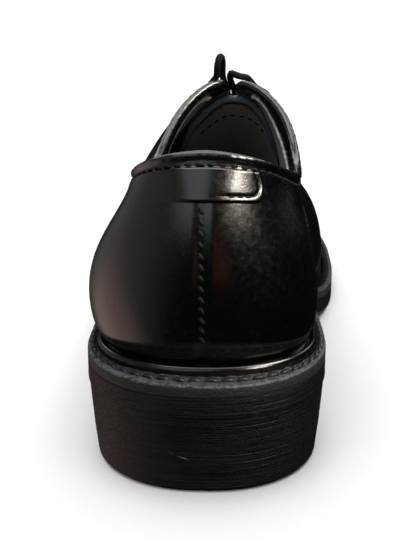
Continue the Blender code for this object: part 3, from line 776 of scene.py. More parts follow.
def wall_line(rows, downs, lift=0.0):
    """Points along the wall, at a distance down from the topline at each row, with their normals."""
    points = []
    normals = []
    for row, down in zip(rows, np.broadcast_to(downs, len(rows))):
        point, normal, _ = wall_row(row, rises_below(row, [down])[0])
        points.append(point[0] + normal[0] * lift)
        normals.append(normal[0])
    return np.array(points), np.array(normals)


def both_sides(stretches):
    """Values of the stretches on the medial side and mirrored on the lateral, in order."""
    half = np.concatenate([np.linspace(start, end, steps + 1)[:-1] for start, end, steps in stretches])
    return np.concatenate((-half[:0:-1], half))


def quarter_lift(row, rise):
    """The quarters lie over the vamp with a cut edge, and the step fades out at the welt."""
    ahead = smooth(0.5 + (QUARTER_EDGE_ROW - abs(row)) / STEP_ROUND)
    return QUARTER_STEP * smooth(rise / STEP_FADE) * ahead


def apart(points, line):
    """Distances of points from each point of a line."""
    return np.linalg.norm(points[:, None] - line[None], axis=2)


def bell(distance, width):
    """Falls smoothly from 1 at no distance to almost nothing at two widths."""
    return np.exp(-((distance / width) ** 2))


def crease_lift(points):
    """How far the creases sink or raise the leather at each point."""
    lift = np.zeros(len(points))
    part = np.linspace(0.0, 1.0, CREASE_POINTS)
    bend = np.stack(((1 - part) ** 2, 2 * part * (1 - part), part**2))
    for *ends_and_middle, width, depth in CREASES:
        start, middle, end = np.array(ends_and_middle)
        rows, downs = np.stack((start, 2 * middle - (start + end) / 2, end), -1) @ bend
        gaps = apart(points, wall_line(rows, downs)[0])
        near = gaps.min(1)
        along = np.clip(part[gaps.argmin(1)], CREASE_END, 1 - CREASE_END)
        fade = np.sin(math.pi * along) ** CREASE_FADE_POWER
        ridge = CREASE_RIDGE * bell(near - CREASE_RIDGE_PLACE * width, width)
        lift += depth * fade * (ridge - bell(near, width))
    return lift


def slack(points):
    """Slight unevenness of leather that has been worn."""
    first, second, third = np.sin(points @ np.transpose(SLACK_TURNS)).T
    return SLACK_DEPTHS[0] * first * second + SLACK_DEPTHS[1] * third


upper_rows = np.append(both_sides(WALL_ROWS), TOE_ROW)
outer_points, outer_normals, inner_points, lifts = [], [], [], []
for row in upper_rows:
    whole = rises_below(row, [0.0])[1]
    below = np.linspace(whole, TOP_BAND, WALL_STEPS + 1)[:-1]
    downs = np.append(below, np.linspace(TOP_BAND, 0.0, TOP_STEPS + 1))
    rises, _ = rises_below(row, downs)
    points, normals, _ = wall_row(row, rises)
    lift = quarter_lift(row, rises)
    if abs(row) < SEAM_ROWS:
        lift = lift - SEAM_DEPTH * (1 - smooth((abs(points[:, 0]) - SEAM_HALF_WIDTH) / SEAM_EDGE))
    if abs(row) < CORNER_ROW:
        lift = lift - COLLAR_CHANNEL * (1 - smooth((downs - CHANNEL_WIDTH) / CHANNEL_EDGE))
    else:
        lift = lift - THROAT_EDGE_DEPTH * np.clip(1 - downs / THROAT_EDGE, 0.0, 1.0) ** 2
    if CORNER_ROW < abs(row) < QUARTER_EDGE_ROW:
        lift = lift - FACING_GROOVE * bell(downs - FACING_SEAM, FACING_GROOVE_WIDTH)
    inside = rises_below(row, np.linspace(0.0, whole, INNER_STEPS + 1))[0]
    inner, inward, _ = wall_row(row, inside)
    inner = inner - inward * UPPER_WALL
    inner[-1, 2] = points[0, 2]
    outer_points.append(points)
    outer_normals.append(normals)
    inner_points.append(inner)
    lifts.append(lift)
outer_points, outer_normals, lifts = (np.array(values) for values in (outer_points, outer_normals, lifts))
flat_points = outer_points.reshape(-1, 3)
foot_fade = smooth(np.tile(np.linspace(0.0, 1.0, outer_points.shape[1]), len(upper_rows)) / STEP_FADE)
soft = (crease_lift(flat_points) + slack(flat_points)) * foot_fade
lifts = lifts + soft.reshape(lifts.shape)
outer_points = outer_points + outer_normals * lifts[..., None]
upper_sections = np.concatenate((outer_points, np.array(inner_points)), 1)
upper_mesh = skin("upper_hide", upper_sections, ring=True)

rubbed = np.zeros(len(flat_points))
for row, down, reach, strength in RUBBED:
    spot, _ = wall_line([row], down)
    rubbed = np.maximum(rubbed, strength * bell(np.linalg.norm(flat_points - spot, axis=1), reach))
padded_marks = np.zeros(upper_sections.shape[:2])
padded_marks[:, : outer_points.shape[1]] = rubbed.reshape(outer_points.shape[:2])
mark(upper_mesh, "rubbed", padded_marks)


def polished_hide(name, dark, light, gloss, grain):
    """Corrected cattle hide, polished: near black, with a clear shine over a fine pore, dull where rubbed."""
    sockets = {"IOR": 1.5, "Coat Weight": 0.3, "Coat Roughness": 0.12, "Specular IOR Level": 0.5}
    material, tree, shader, place = new_material(name, sockets)
    cloud = node(tree, "ShaderNodeTexNoise", "Fac", {"Vector": place, "Scale": 1 / (22 * MM), "Detail": 5.0})
    # Pores are about 0.2 mm on the hide and are drawn at 0.5 to 0.7 mm, the finest that shows here
    pore = node(tree, "ShaderNodeTexVoronoi", "Distance", {"Vector": place, "Scale": 1 / (grain * MM)})
    fine = node(tree, "ShaderNodeTexNoise", "Fac", {"Vector": place, "Scale": 1 / (1.6 * MM), "Detail": 4.0})
    scuff = node(tree, "ShaderNodeTexNoise", "Fac", {"Vector": place, "Scale": 1 / (6 * MM), "Detail": 3.0})
    rub = node(tree, "ShaderNodeAttribute", "Fac", {}, attribute_name="rubbed")
    worn = node(tree, "ShaderNodeMath", 0, {0: rub, 1: scuff}, operation="MULTIPLY")
    base = node(tree, "ShaderNodeMix", 2, {0: cloud, 6: linear(dark), 7: linear(light)}, data_type="RGBA")
    dulled = {0: worn, 6: base, 7: linear(RUBBED_COLOUR)}
    colour = node(tree, "ShaderNodeMix", 2, dulled, data_type="RGBA")
    spread = {"From Min": 0.3, "From Max": 0.7, "To Min": gloss - 0.05, "To Max": gloss + 0.06}
    even = node(tree, "ShaderNodeMapRange", 0, {"Value": fine, **spread})
    rough = node(tree, "ShaderNodeMath", 0, {0: worn, 1: RUBBED_ROUGHNESS, 2: even}, operation="MULTIPLY_ADD")
    pitted = node(tree, "ShaderNodeBump", 0, {"Height": pore, "Strength": 0.12, "Distance": 0.12 * MM})
    rippled = {"Height": fine, "Strength": 0.10, "Distance": 0.25 * MM, "Normal": pitted}
    uneven = node(tree, "ShaderNodeBump", 0, rippled)
    plug(tree, shader, {"Base Color": colour, "Roughness": rough, "Normal": uneven})
    return material


black_hide = polished_hide("polished_black_hide", "#030303", "#060505", 0.22, 0.7)

# Eyelet holes, punched through both facings
EYELET_COUNT = 5
EYELET_FIRST_ROW = 6.27
EYELET_ROW_STEP = 0.37
EYELET_INSET = 9.0
EYELET_HOLE = 2.0
PUNCH_DEPTH = 12.0
PUNCH_SIDES = 24


def eyelet_row(place):
    return EYELET_FIRST_ROW + EYELET_ROW_STEP * place


def eyelet_seat(side, place):
    """Point on a facing where an eyelet sits, with the facing's normal."""
    points, normals = wall_line([side * eyelet_row(place)], EYELET_INSET, QUARTER_STEP)
    return points[0], normals[0]


def stand_along(normal):
    """Turn that stands a shape made about Z along a normal."""
    return Vector(normal).to_track_quat("Z", "Y").to_matrix()


EYELET_SEATS = [eyelet_seat(side, place) for side in (-1, 1) for place in range(EYELET_COUNT)]
punch = bmesh.new()
for point, normal in EYELET_SEATS:
    bmesh.ops.create_cone(
        punch,
        cap_ends=True,
        segments=PUNCH_SIDES,
        radius1=EYELET_HOLE * MM,
        radius2=EYELET_HOLE * MM,
        depth=PUNCH_DEPTH * MM,
        matrix=Matrix.Translation(to_metres(point)) @ stand_along(normal).to_4x4(),
    )
punch_mesh = bpy.data.meshes.new("eyelet_punch")
punch.to_mesh(punch_mesh)
punch.free()
punch_tool = add_object("eyelet_punch", punch_mesh)
upper = dress("upper_hide", upper_mesh, [black_hide], ["upper"])
cut = upper.modifiers.new("eyelet_holes", "BOOLEAN")
cut.operation = "DIFFERENCE"
cut.solver = "MANIFOLD"
cut.object = punch_tool
bpy.context.view_layer.update()
cut_mesh = bpy.data.meshes.new_from_object(upper.evaluated_get(bpy.context.evaluated_depsgraph_get()))
upper.modifiers.clear()
upper.data = cut_mesh
upper.data.shade_smooth()
upper.data.set_sharp_from_angle(angle=math.radians(SHARP_ANGLE))
bpy.data.objects.remove(punch_tool)

# Back seam. The quarters are folded in and meet in a narrow valley down the back, and a row of short slanted
# stitches of waxed thread holds them.
SEAM_TOP = 13.5
SEAM_END = 9.0
SEAM_PITCH = 3.1
SEAM_STITCH = 2.5
SEAM_SLANT = 0.62
SEAM_THREAD = 1.25

seam_run = rises_below(0.0, [0.0])[1]
seam_downs = np.arange(SEAM_TOP, seam_run - SEAM_END, SEAM_PITCH)
seam_points, seam_normals = wall_line(np.zeros(len(seam_downs)), seam_downs, QUARTER_STEP - SEAM_DEPTH)
seam_lean = np.array((math.sin(SEAM_SLANT), 0.0, -math.cos(SEAM_SLANT))) * SEAM_STITCH / 2
leather_thread = waxed_thread("waxed_upper_thread", "#040404", 0.75)
seam_places = seam_points - seam_lean, seam_points + seam_lean, seam_normals
stitches("back_seam_stitches", seam_places, SEAM_THREAD, leather_thread)

# Collar and facing seams. A row of fine stitches follows the collar just below its binding, one runs down
# each facing, and two rows hold the front edges of the quarters to the vamp.
FINE_THREAD = 0.62
COLLAR_THREAD = 0.8
THREAD_OFFSET = 0.05
COLLAR_SEAM = 0.45
COLLAR_SEAM_ROW = CORNER_ROW - 0.1
COLLAR_SEAM_POINTS = 420
COLLAR_PITCH = 3.2
FINE_SEAM_POINTS = 120
FACING_SEAM_ROWS = (CORNER_ROW + 0.05, QUARTER_EDGE_ROW - 0.25)
FACING_PITCH = 2.4
QUARTER_SEAM_ROWS = (7.86, 7.74)
QUARTER_SEAM_TOP = 3.0
QUARTER_SEAM_END = 10.0

seam_rows = np.linspace(-COLLAR_SEAM_ROW, COLLAR_SEAM_ROW, COLLAR_SEAM_POINTS)
collar_line = wall_line(seam_rows, COLLAR_SEAM, QUARTER_STEP - COLLAR_CHANNEL + THREAD_OFFSET)
collar_places = stitch_places(*collar_line, COLLAR_PITCH)
stitches("collar_stitches", collar_places, COLLAR_THREAD, leather_thread)
fine_rows = []
for side in (-1, 1):
    facing_rows = side * np.linspace(*FACING_SEAM_ROWS, FINE_SEAM_POINTS)
    facing_line = wall_line(facing_rows, FACING_SEAM, QUARTER_STEP - THREAD_OFFSET)
    fine_rows.append(stitch_places(*facing_line, FACING_PITCH))
    for row in QUARTER_SEAM_ROWS:
        whole = rises_below(side * row, [0.0])[1]
        downs = np.linspace(QUARTER_SEAM_TOP, whole - QUARTER_SEAM_END, FINE_SEAM_POINTS)
        line = wall_line(np.full(len(downs), side * row), downs, QUARTER_STEP)
        fine_rows.append(stitch_places(*line, FACING_PITCH))
fine_places = [np.concatenate(part) for part in zip(*fine_rows)]
stitches("quarter_stitches", fine_places, FINE_THREAD, leather_thread)

# Quarter lining. Thin drill glued inside the quarters. Its raw edge shows as a pale line below the
# turned-in collar binding.
LINING_TOP = 5.9
LINING_ROWS = 5.8
LINING_SECTIONS = 260
LINING_STEPS = 34
LINING_GAP = 0.03
LINING_THICKNESS = 0.5
FRAY_SECTIONS = 620
FRAY_SIDES = 8
FRAY_DEPTH = 0.6
FRAY_WANDER = 0.12
FRAY_HALF_WIDTH = 1.2
FRAY_HALF_HEIGHT = 0.45
FRAY_WIDTH_SPREAD = 0.22
FRAY_HEIGHT_SPREAD = 0.25


def twill(name, dark, light, thread):
    """Cotton drill: dull, with a fine slanting rib. The rib is drawn a little coarse so that it shows."""
    material, tree, shader, place = new_material(name, {"Roughness": 0.9, "Sheen Weight": 0.15})
    slanted = {"Vector": place, "Rotation": (0.5, 0.7, 0.3), "Scale": (1 / (thread * MM),) * 3}
    slant = node(tree, "ShaderNodeMapping", 0, slanted)
    rib = node(tree, "ShaderNodeTexWave", "Fac", {"Vector": slant, "Scale": 0.35, "Distortion": 1.5})
    cloud = node(tree, "ShaderNodeTexNoise", "Fac", {"Vector": place, "Scale": 1 / (9 * MM), "Detail": 5.0})
    tone = node(tree, "ShaderNodeMath", 0, {0: rib, 1: cloud}, operation="MULTIPLY")
    colour = node(tree, "ShaderNodeMix", 2, {0: tone, 6: linear(dark), 7: linear(light)}, data_type="RGBA")
    bump = node(tree, "ShaderNodeBump", 0, {"Height": rib, "Strength": 0.4, "Distance": 0.2 * MM})
    plug(tree, shader, {"Base Color": colour, "Normal": bump})
    return material


lining_sections = []
for row in np.linspace(-LINING_ROWS, LINING_ROWS, LINING_SECTIONS):
    whole = rises_below(row, [0.0])[1]
    rises, _ = rises_below(row, np.linspace(whole, LINING_TOP, LINING_STEPS))
    points, normals, _ = wall_row(row, rises)
    near = points - normals * (UPPER_WALL + LINING_GAP)
    far = points - normals * (UPPER_WALL + LINING_GAP + LINING_THICKNESS)
    lining_sections.append(np.vstack((near, far[::-1])))
drill = twill("dark_cotton_drill", "#1d1b19", "#3d3833", 0.6)
dress("quarter_lining", skin("quarter_lining", lining_sections), [drill], [])


def raw_cotton(name, dark, light):
    """Undyed cut edge of the drill, greyed with wear: pale and quite dull."""
    material, tree, shader, place = new_material(name, {"Roughness": 0.95})
    cloud = node(tree, "ShaderNodeTexNoise", "Fac", {"Vector": place, "Scale": 1 / (1.5 * MM), "Detail": 5.0})
    blot = node(tree, "ShaderNodeTexNoise", "Fac", {"Vector": place, "Scale": 1 / (7 * MM), "Detail": 2.0})
    tone = node(tree, "ShaderNodeMath", 0, {0: cloud, 1: blot}, operation="MULTIPLY")
    ramp = node(tree, "ShaderNodeMapRange", 0, {"Value": tone, "From Min": 0.12, "From Max": 0.4})
    colour = node(tree, "ShaderNodeMix", 2, {0: ramp, 6: linear(dark), 7: linear(light)}, data_type="RGBA")
    plug(tree, shader, {"Base Color": colour})
    return material


fray = np.random.default_rng(11)
fray_angles = ring_angles(FRAY_SIDES)[:, None]
fray_sections = []
for row in np.linspace(-LINING_ROWS, LINING_ROWS, FRAY_SECTIONS):
    point, normal, climb = (part[0] for part in wall_row(row, rises_below(row, [LINING_TOP])[0]))
    middle = point - normal * (UPPER_WALL + LINING_THICKNESS * FRAY_DEPTH)
    middle = middle + climb * FRAY_WANDER * fray.standard_normal()
    width = FRAY_HALF_WIDTH * (1 + FRAY_WIDTH_SPREAD * fray.standard_normal(FRAY_SIDES))[:, None]
    height = FRAY_HALF_HEIGHT * (1 + FRAY_HEIGHT_SPREAD * fray.standard_normal(FRAY_SIDES))[:, None]
    fray_sections.append(middle + climb * np.cos(fray_angles) * width + normal * np.sin(fray_angles) * height)
cut_edge = raw_cotton("raw_cotton_edge", "#b5b6b0", "#f0f0ea")
dress("lining_raw_edge", skin("lining_raw_edge", fray_sections), [cut_edge], [])

# Collar binding. A strip of thin soft leather folded over the topline round a cord, so that it stands as a
# glossy bead, with its inner leg turned down inside the collar.
BEAD_RADIUS = 1.5
BEAD_UP = 2.3
BEAD_ARC = np.radians(np.linspace(-42, 205, 19))
# Points of the fold beside the bead, as distance out from the last and distance up from the topline
BINDING_OUTSIDE = ((0.2, 0.05), (0.42, 0.05), (0.45, 0.5), (0.52, 0.95))
BINDING_INSIDE = ((-2.0, 0.7), (-2.05, -0.6), (-2.12, -2.5), (-2.2, -4.6), (-2.1, -5.1), (-1.84, -5.2))
BINDING_UNDER = ((-1.84, -1.5), (-1.84, 0.04), (-0.8, 0.05))
BINDING_STEPS = 320
BINDING_END_ROW = 6.36
BINDING_TAPER = 0.34
BINDING_TIP = 0.3
# Puckers of the bead: depth, radians for each row and start
PUCKERS = ((0.05, 31.0, 0.0), (0.04, 53.0, 1.0))
PUCKER_UP = 0.5


def collar_point(row, out, up):
    """Point at a distance out from the last's surface and up from the topline, or down the wall."""
    rises, _ = rises_below(row, [max(-up, 0.0)])
    point, normal, climb = (part[0] for part in wall_row(row, rises))
    return point + normal * out + climb * max(up, 0.0)


bead_middle = np.array(((QUARTER_STEP - UPPER_WALL) / 2, BEAD_UP))
bead = bead_middle + BEAD_RADIUS * np.stack((np.cos(BEAD_ARC), np.sin(BEAD_ARC)), -1)
binding_profile = np.array((*BINDING_OUTSIDE, *bead, *BINDING_INSIDE, *BINDING_UNDER))
binding_sections = []
for row in np.linspace(-BINDING_END_ROW, BINDING_END_ROW, BINDING_STEPS):
    full = BINDING_TIP + (1 - BINDING_TIP) * smooth((BINDING_END_ROW - abs(row)) / BINDING_TAPER)
    shape = binding_profile * full - (UPPER_WALL * (1 - full) / 2, 0.0)
    pucker = sum(depth * math.sin(row * rate + start) for depth, rate, start in PUCKERS)
    binding_sections.append([collar_point(row, out + pucker * (up > PUCKER_UP), up) for out, up in shape])
soft_leather = polished_hide("glazed_binding_leather", "#060708", "#0c0d0f", 0.24, 0.5)
binding_mesh = skin("binding_fold", binding_sections)
dress("binding_fold", binding_mesh, [soft_leather], ["collar_binding"], sharp=60.0)

# Heel tab. The lateral quarter runs on over the top of the back seam as a tab with a round end, which is
# stitched down on the medial quarter. On the lateral side its skin fades out into the quarter.
TAB_BLEND_ROW = -0.95
TAB_FULL_ROW = 0.06
TAB_FADE_ROW = -0.85
TAB_FADE_ROWS = 0.85
TAB_FADE_RUN = 9.0
TAB_BURY = 0.15
TAB_START_ROW = -0.16
TAB_END_ROW = 0.82
TAB_TOP = 1.35
TAB_DEPTH = 11.2
TAB_LEAST_DEPTH = 0.1
TAB_THICKNESS = 1.2
TAB_SINK = 0.35
TAB_ROUND_FROM = 0.72
TAB_ROUND_POWER = 2.6
TAB_TIP = 0.9985
TAB_SECTIONS = 110
TAB_SECTION_CROWDING = 1.6
TAB_POINTS = 40
TAB_POINT_CROWDING = 0.12
TAB_EDGE_ROUND = 0.9
TAB_EDGE_SHARE = 0.3
TAB_RUN_POINTS = 20
TAB_LINE_POINTS = 260
TAB_LINE_CROWDING = 2.2
TAB_LINE_END = 0.9998
TAB_SEAM_INSET = 1.7
TAB_GROOVE = 0.3
TAB_GROOVE_WIDTH = 0.5
TAB_GROOVE_ROWS = 0.2
TAB_SEAM_PITCH = 2.5
TAB_SEAM_ROW = 0.2

tab_middle, _ = wall_line(np.linspace(TAB_START_ROW, TAB_END_ROW, TAB_RUN_POINTS), TAB_DEPTH / 2)
TAB_ROW_LENGTH = run_along(tab_middle)[-1] / (TAB_END_ROW - TAB_START_ROW)


def tab_end(inset):
    """Row where the tab ends, at an inset from its edge."""
    return TAB_END_ROW - inset / TAB_ROW_LENGTH


def tab_depth(row, inset=0.0):
    """Depth of the tab below the topline, with its round end."""
    part = (np.asarray(row) - TAB_START_ROW) / (tab_end(inset) - TAB_START_ROW)
    return (TAB_DEPTH - inset) * rounding(1 - part, 1 - TAB_ROUND_FROM, TAB_ROUND_POWER)


def tab_line(inset, lift):
    """Rows, points and normals along the tab's lower edge and round its end, at an inset from the edge."""
    parts = (1 - (1 - np.linspace(0.0, 1.0, TAB_LINE_POINTS)) ** TAB_LINE_CROWDING) * TAB_LINE_END
    rows = TAB_BLEND_ROW + (tab_end(inset) - TAB_BLEND_ROW) * parts
    downs = tab_depth(rows, inset)
    keep = downs > TAB_TOP
    return (rows[keep], *wall_line(rows[keep], downs[keep], lift))


_, tab_edge, _ = tab_line(0.0, 0.0)
_, tab_seam, _ = tab_line(TAB_SEAM_INSET, 0.0)
tab_shares = np.linspace(0.0, 1.0, TAB_POINTS)
tab_shares = tab_shares - TAB_POINT_CROWDING * np.sin(2 * math.pi * tab_shares)
tab_parts = 1 - (1 - np.linspace(0.0, 1.0, TAB_SECTIONS)) ** TAB_SECTION_CROWDING
tab_sections = []
for row in TAB_BLEND_ROW + (TAB_END_ROW - TAB_BLEND_ROW) * tab_parts * TAB_TIP:
    depth = float(tab_depth(row))
    downs = TAB_TOP + (max(depth, TAB_TOP + TAB_LEAST_DEPTH) - TAB_TOP) * tab_shares
    points, normals, _ = wall_row(row, rises_below(row, downs)[0])
    grown = smooth((row - TAB_BLEND_ROW) / (TAB_FULL_ROW - TAB_BLEND_ROW))
    edged = smooth((row - TAB_FADE_ROW) / TAB_FADE_ROWS)
    thick = TAB_THICKNESS * grown * (edged + (1 - edged) * smooth((depth - downs) / TAB_FADE_RUN))
    from_edge = np.minimum(apart(points, tab_edge).min(1), downs - TAB_TOP)
    roll = rounding(from_edge, TAB_EDGE_ROUND, CIRCLE_POWER)
    body = (thick + TAB_BURY) * (TAB_EDGE_SHARE + (1 - TAB_EDGE_SHARE) * roll)
    groove = TAB_GROOVE * bell(apart(points, tab_seam).min(1), TAB_GROOVE_WIDTH)
    groove = groove * smooth((row - TAB_FULL_ROW) / TAB_GROOVE_ROWS)
    buried = TAB_BURY * (1 - smooth((row - TAB_BLEND_ROW) / (TAB_START_ROW - TAB_BLEND_ROW)))
    lift = QUARTER_STEP - TAB_BURY + body - groove + slack(points) - buried
    outer = points + normals * lift[:, None]
    inner = points + normals * (QUARTER_STEP - TAB_SINK - SEAM_DEPTH)
    tab_sections.append(np.vstack((outer, inner[::-1])))
tab_mesh = skin("heel_tab_hide", tab_sections)
dress("heel_tab_hide", tab_mesh, [black_hide], ["heel_tab"], sharp=60.0)

seam_rows, *seam_line = tab_line(TAB_SEAM_INSET, QUARTER_STEP + TAB_THICKNESS - TAB_GROOVE + THREAD_OFFSET)
tab_places = stitch_places(*(values[seam_rows > TAB_SEAM_ROW] for values in seam_line), TAB_SEAM_PITCH)
stitches("heel_tab_stitches", tab_places, FINE_THREAD, leather_thread)

# Tongue. A broad piece of black leather under both facings, lined with drill, with a rolled edge at its
# round top. It is sewn to the vamp at its foot.
TONGUE_TOP_ROW = 6.26
TONGUE_END_ROW = 9.4
TONGUE_WING = 24.0
TONGUE_TOP_SHARE = 0.6
TONGUE_CLEARANCE = 0.45
TONGUE_THICKNESS = 2.2
TONGUE_ROUND = 0.14
TONGUE_TAIL = (0.0, 9.0, -3.6)
TONGUE_STEPS = 60
TONGUE_CROWDING = 1.7
WING_STEPS = 18
BRIDGE_PARTS = np.linspace(0.0, 1.0, 13)[1:-1]
TONGUE_ROLL = 0.4
TONGUE_BAND = 0.014
TONGUE_BAND_EDGE = 0.006
TONGUE_TOP_ROLL = 0.012
TONGUE_EDGE_SHARE = 0.35
TONGUE_CROWN = 1.3
TONGUE_CROWN_END = 0.05
TONGUE_EDGE_RADIUS = 1.3
TONGUE_EDGE_SIDES = 14
TONGUE_EDGE_STEPS = 16
TONGUE_EDGE_CROWDING = 2
TONGUE_SEAM_ROW = 6.62
TONGUE_SEAM_WING = 15.0
TONGUE_SEAM_PITCH = 3.4
TONGUE_NUDGE = 1.0
# A direction that no tube's start takes, from which its rings are turned
ACROSS_TUBES = (0.3, 0.5, 0.81)


def tongue_line(row, wing, depth):
    """Line across the tongue at a depth under the last's surface, from the lateral to the medial wing."""
    wings = {}
    leans = {}
    for side in (-1, 1):
        rises, _ = rises_below(side * row, wing * np.linspace(1.0, 0.0, WING_STEPS))
        points, normals, climb = wall_row(side * row, rises)
        wings[side] = points - normals * depth
        leans[side] = climb[-1]
    start, end = wings[-1][-1], wings[1][-1]
    pull = np.linalg.norm(end - start) / 3
    leads = np.array((start, start + leans[-1] * pull, end + leans[1] * pull, end))
    return np.vstack((wings[-1], cubic_weights(BRIDGE_PARTS) @ leads, wings[1][::-1]))


def tongue_size(part):
    """Row, wing and rise of the crown at a part of the tongue's length."""
    row = TONGUE_TOP_ROW + (TONGUE_END_ROW - TONGUE_TOP_ROW) * part
    wing = TONGUE_WING * (TONGUE_TOP_SHARE + (1 - TONGUE_TOP_SHARE) * rounding(part, TONGUE_ROUND))
    return row, wing, np.array((0.0, 0.0, TONGUE_CROWN * (1 - smooth(part / TONGUE_CROWN_END))))


tongue_middle = UPPER_WALL + TONGUE_CLEARANCE + TONGUE_THICKNESS / 2
tongue_parts = np.linspace(0.0, 1.0, TONGUE_STEPS) ** TONGUE_CROWDING
tongue_sections = []
for part in tongue_parts:
    row, wing, crown = tongue_size(part)
    roll = rounding(part, TONGUE_TOP_ROLL, CIRCLE_POWER)
    band = TONGUE_ROLL * (1 - smooth((part - TONGUE_BAND) / TONGUE_BAND_EDGE))
    half = TONGUE_THICKNESS / 2 * (TONGUE_EDGE_SHARE + (1 - TONGUE_EDGE_SHARE) * roll)
    outer = tongue_line(row, wing, tongue_middle - half)
    inner = tongue_line(row, wing, tongue_middle + half + band * roll)
    tongue_sections.append(np.vstack((outer, inner[::-1])) + crown)
tongue_sections.append(tongue_sections[-1] + np.array(TONGUE_TAIL))
tongue_mesh = skin("tongue_leather", tongue_sections)
tongue_hide = polished_hide("soft_tongue_leather", "#191b1d", "#26282a", 0.42, 0.6)
tongue_drill = twill("brown_tongue_drill", "#4a423b", "#8a7f74", 0.7)
tongue_sides = np.zeros((TONGUE_STEPS, len(tongue_sections[0])), int)
tongue_sides[tongue_parts > TONGUE_BAND + TONGUE_BAND_EDGE, len(tongue_sections[0]) // 2 : -1] = 1
face_sides = np.zeros(len(tongue_mesh.polygons), int)
face_sides[: tongue_sides.size] = tongue_sides.ravel()
tongue_mesh.polygons.foreach_set("material_index", face_sides)
dress("tongue_leather", tongue_mesh, [tongue_hide, tongue_drill], ["tongue"])


def tube_rings(path, radii):
    """Rings round a path, with a radius for each point of each ring."""
    ahead = unit(np.gradient(path, axis=0))
    side = unit(np.cross(ahead[0], ACROSS_TUBES))
    angles = ring_angles(radii.shape[1])[:, None]
    rings = []
    for point, heading, radius in zip(path, ahead, radii):
        side = unit(side - heading * np.dot(side, heading))
        other = np.cross(heading, side)
        rings.append(point + radius[:, None] * (np.cos(angles) * side + np.sin(angles) * other))
    return rings


edge_lines = []
for part in TONGUE_ROUND * np.linspace(0.0, 1.0, TONGUE_EDGE_STEPS) ** TONGUE_EDGE_CROWDING:
    row, wing, crown = tongue_size(part)
    edge_lines.append(tongue_line(row, wing, tongue_middle + TONGUE_ROLL / 2) + crown)
lateral_edge = [line[0] for line in edge_lines[:0:-1]]
medial_edge = [line[-1] for line in edge_lines[1:]]
edge_path = np.vstack((lateral_edge, edge_lines[0], medial_edge))
edge_radii = np.full((len(edge_path), TONGUE_EDGE_SIDES), TONGUE_EDGE_RADIUS)
edge_mesh = skin("tongue_rolled_edge", tube_rings(edge_path, edge_radii))
# The roll is black leather; its pale bluish grey colour is a painted highlight along the edge
edge_painted_highlight = polished_hide("rolled_edge_painted_highlight", "#4b5458", "#596268", 0.4, 0.6)
dress("tongue_rolled_edge", edge_mesh, [edge_painted_highlight], [])

tongue_inside = tongue_middle + TONGUE_THICKNESS / 2
tongue_seam = tongue_line(TONGUE_SEAM_ROW, TONGUE_SEAM_WING, tongue_inside)
seam_deeper = tongue_line(TONGUE_SEAM_ROW, TONGUE_SEAM_WING, tongue_inside + TONGUE_NUDGE)
tongue_places = stitch_places(tongue_seam, unit(seam_deeper - tongue_seam), TONGUE_SEAM_PITCH, share=0.6)
stitches("tongue_stitches", tongue_places, COLLAR_THREAD, leather_thread)

# Eyelets. Small rolled rings of black enamelled brass set in the facings, five on each side.
EYELET_SEGMENTS = 28
# Profile of a ring, as radius and height over the facing
EYELET_PROFILE = (
    (1.7, -1.6),
    (1.75, 0.1),
    (1.95, 0.55),
    (2.4, 0.8),
    (3.0, 0.75),
    (3.45, 0.4),
    (3.6, -0.05),
    (3.2, -0.25),
    (1.98, -0.25),
    (1.92, -1.6),
)


def black_enamel(name, dark, light):
    """Stoved enamel on brass: smooth and bright, worn a little on the rolled rim."""
    sockets = {"Metallic": 0.4, "Coat Weight": 0.4, "Coat Roughness": 0.1}
    material, tree, shader, place = new_material(name, sockets)
    chip = node(tree, "ShaderNodeTexNoise", "Fac", {"Vector": place, "Scale": 1 / (1.2 * MM), "Detail": 5.0})
    ramp = node(tree, "ShaderNodeMapRange", 0, {"Value": chip, "From Min": 0.62, "From Max": 0.75})
    colour = node(tree, "ShaderNodeMix", 2, {0: ramp, 6: linear(dark), 7: linear(light)}, data_type="RGBA")
    rough = node(tree, "ShaderNodeMapRange", 0, {"Value": chip, "To Min": 0.22, "To Max": 0.42})
    plug(tree, shader, {"Base Color": colour, "Roughness": rough})
    return material


enamel = black_enamel("stoved_black_enamel", "#101011", "#3b362c")
turns = ring_angles(EYELET_SEGMENTS)
ring_shape = np.array([[(r * math.cos(a), r * math.sin(a), up) for r, up in EYELET_PROFILE] for a in turns])
for k, (point, normal) in enumerate(EYELET_SEATS):
    side = "lateral" if k < EYELET_COUNT else "medial"
    number = k % EYELET_COUNT + 1
    name = f"eyelet_ring_{side}_{number}"
    ring_mesh = skin(name, ring_shape @ np.array(stand_along(normal)).T + point, ring=True)
    dress(name, ring_mesh, [enamel], [f"eyelet_{side}_{number}"])

# Lace over the throat. A round braided cotton lace, waxed black. It comes up through the eyelets, crosses
# over the tongue and goes in again under the other facing. A bar lies over the bottom pair of eyelets.
LACE_RADIUS = 1.2
LACE_STEP = 0.4
LACE_SIDES = 20
LACE_STRANDS = 4
LACE_BRAID_PITCH = 3.0
LACE_BRAID_DEPTH = 0.09
PATH_FINENESS = 40
# Way of a strand out of its eyelet, as distance down from the facing's edge and height over the facing
LACE_OUT = ((9.0, -2.6), (9.0, 0.4), (8.7, 2.0), (7.0, 2.75), (4.5, 2.35), (1.6, 1.75))
LACE_UNDER = ((1.2, -4.0), (4.0, -3.9))
# Heights of the lower and the upper strand of a crossing over the tongue
LACE_LOW = 1.3
LACE_HIGH = 3.9
# How far from its eyelets a strand comes out from and goes under a facing, in steps between eyelets
LACE_OUT_SHARE = 0.12
LACE_UNDER_SHARE = 0.72


def smooth_path(points, gap):
    """Evenly spaced points along a smooth curve through the given ones."""
    points = np.asarray(points, float)
    knots = run_along(points)
    fine = np.linspace(0.0, knots[-1], PATH_FINENESS * len(points))
    curve = np.stack([spline(knots, column)(fine) for column in points.T], -1)
    run = run_along(curve)
    return along_line(np.linspace(0.0, run[-1], int(round(run[-1] / gap)) + 1), run, curve)


